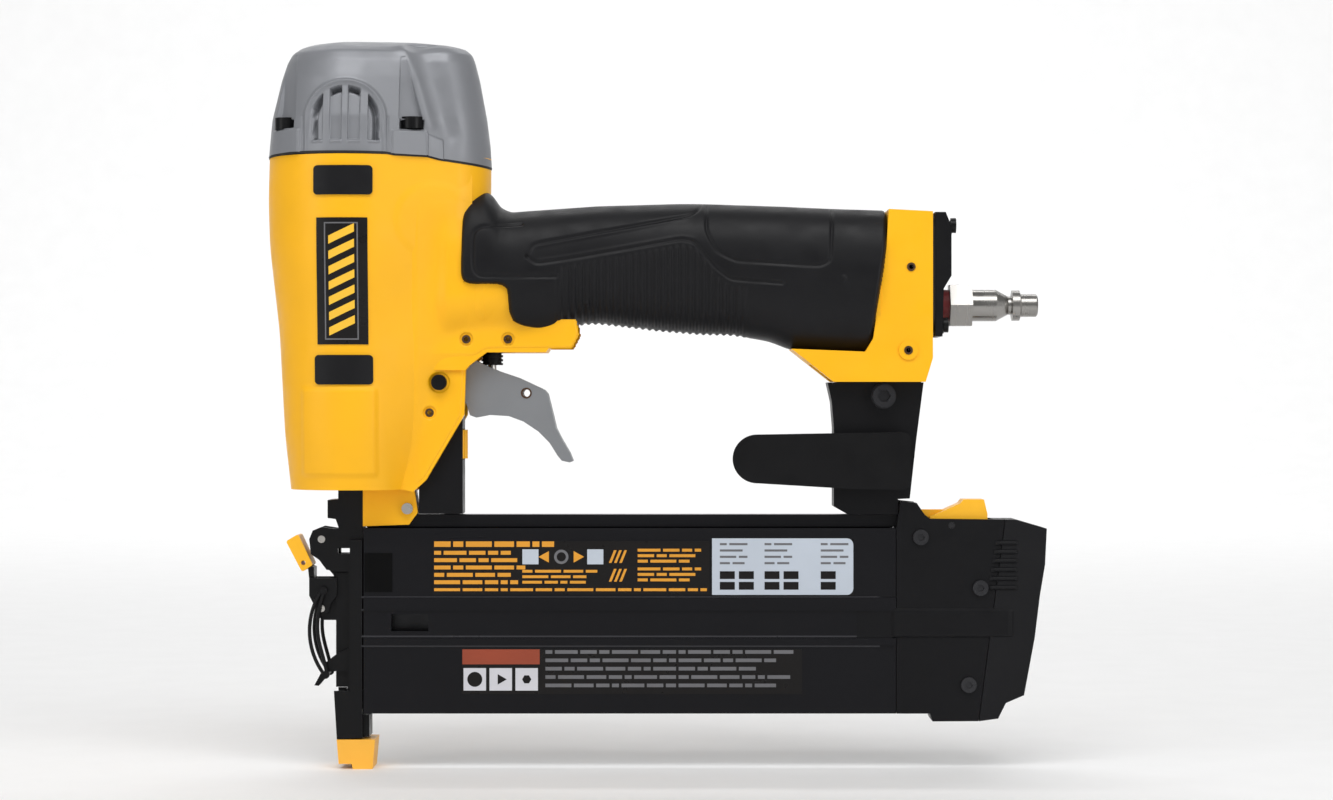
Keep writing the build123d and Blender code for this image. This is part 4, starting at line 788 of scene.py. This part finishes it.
def tail_band():
    """The extrusion's band running on over the near tail half, and the ribs of the rear bumper."""
    # band section (y proud, z) swept along x, with a rounded end
    stations = ((176.0, 0.0), (188.0, 0.0), (189.0, 1.0), (228.5, 1.0), (230.0, 0.7), (230.6, 0.0))
    section = ((45.4, 0.0), (46.2, 0.75), (47.0, 0.9), (54.2, 0.9), (55.0, 0.75), (55.8, 0.0))
    vertices = [(x, TAIL_Y - rise * share, z) for x, share in stations for z, rise in section]
    columns = len(section)
    faces = [[r * columns + c, r * columns + c + 1, (r + 1) * columns + c + 1, (r + 1) * columns + c]
             for r in range(len(stations) - 1) for c in range(columns - 1)]
    # short finger ribs on the side of the rear bumper
    profile = ((-0.9, 0.0), (-0.6, 0.55), (0.0, 0.75), (0.6, 0.55), (0.9, 0.0))
    for row in range(6):
        z = 63.0 + 3.1 * row
        first = len(vertices)
        for x, share in ((221.5 + 0.5 * row, 0.0), (223.0 + 0.5 * row, 1.0), (231.0, 1.0), (231.8, 0.3)):
            vertices += [(x, BUMPER_Y - rise * share, z + across) for across, rise in profile]
        faces += [[first + r * 5 + c, first + r * 5 + c + 1, first + r * 5 + c + 6, first + r * 5 + c + 5]
                  for r in range(3) for c in range(4)]
    return add_piece("tail_band", vertices, faces, "black_plastic", "magazine_slide", smooth=False)


magazine_prints()
tail_band()

# ---------------------------------------------------------------- small edges on the CAD pieces
# bevel widths in millimetres
EDGE_WIDTHS = {
    "main_housing": 0.5, "trigger": 0.7, "magazine_bracket": 0.5, "belt_hook": 0.5, "tail_half_near": 0.5,
    "tail_half_far": 0.5, "tail_bumper": 1.0, "magazine_latch": 0.6, "latch_tip": 0.4, "no_mar_tip": 0.6,
    "nose_body": 0.3, "nose_door": 0.3, "contact_trip": 0.3, "depth_housing": 0.5, "end_cap": 0.6,
    "magazine_channel": 0.15, "magazine_track": 0.3, "side_bumpers": 0.25, "air_plug": 0.15,
    "cap_screws": 0.2, "bracket_bolt": 0.3,
}
for node, width in EDGE_WIDTHS.items():
    soften(NODES[node], width)


# ---------------------------------------------------------------- stage, light and camera
def backdrop():
    """A pale sweep: floor, curve and wall in one surface."""
    start, bend, height, half_width = 2.4, 0.8, 4.5, 5.0
    profile = [(y, 0.0) for y in np.linspace(-4.0, start, 8)]
    turns = np.linspace(0.1, math.pi / 2, 14)
    profile += [(start + bend * math.sin(turn), bend - bend * math.cos(turn)) for turn in turns]
    profile += [(start + bend, z) for z in np.linspace(bend + 0.2, height, 5)]
    vertices = [(x, y, z) for x in (-half_width, half_width) for y, z in profile]
    count = len(profile)
    faces = [[k, k + 1, count + k + 1, count + k] for k in range(count - 1)]
    mesh = bpy.data.meshes.new("sweep")
    mesh.from_pydata(vertices, [], faces)
    mesh.shade_smooth()
    floor = bpy.data.objects.new("sweep", mesh)
    bpy.context.scene.collection.objects.link(floor)
    paper = new_material("pale_paper", (0.86, 0.86, 0.86), 0.75, grain_mm=3.0, grain_depth_mm=0.02, tone=0.01)
    mesh.materials.append(paper)


def area_light(name, place, target, size, watts):
    data = bpy.data.lights.new(name, "AREA")
    data.shape = "RECTANGLE"
    data.size, data.size_y = size
    data.energy = watts
    lamp = bpy.data.objects.new(name, data)
    lamp.location = place
    lamp.rotation_mode = "QUATERNION"
    lamp.rotation_quaternion = (Vector(target) - Vector(place)).to_track_quat("-Z", "Y")
    bpy.context.scene.collection.objects.link(lamp)


def light_and_camera():
    bpy.context.scene.view_settings.view_transform = "Standard"
    world = bpy.data.worlds.new("studio")
    world.use_nodes = True
    world.node_tree.nodes["Background"].inputs["Color"].default_value = (1.0, 1.0, 1.0, 1.0)
    world.node_tree.nodes["Background"].inputs["Strength"].default_value = 0.30
    bpy.context.scene.world = world
    middle = (0.11, 0.0, 0.125)
    area_light("key_overhead", (0.1, -1.0, 1.5), middle, (1.6, 0.8), 18)
    area_light("fill_left", (-1.4, -1.2, 0.6), middle, (0.7, 1.2), 6.5)
    area_light("fill_right", (1.5, -1.2, 0.6), middle, (0.7, 1.2), 8)
    area_light("wall_wash", (0.1, 1.7, 2.6), (0.1, 2.9, 0.6), (4.0, 0.6), 62)
    camera_data = bpy.data.cameras.new("camera")
    camera_data.lens = 85.0
    camera_data.sensor_width = 36.0
    camera = bpy.data.objects.new("camera", camera_data)
    camera.location = (0.110, -1.10, 0.128)
    camera.rotation_euler = (math.radians(90.0), 0.0, 0.0)
    bpy.context.scene.collection.objects.link(camera)
    bpy.context.scene.camera = camera


backdrop()
light_and_camera()
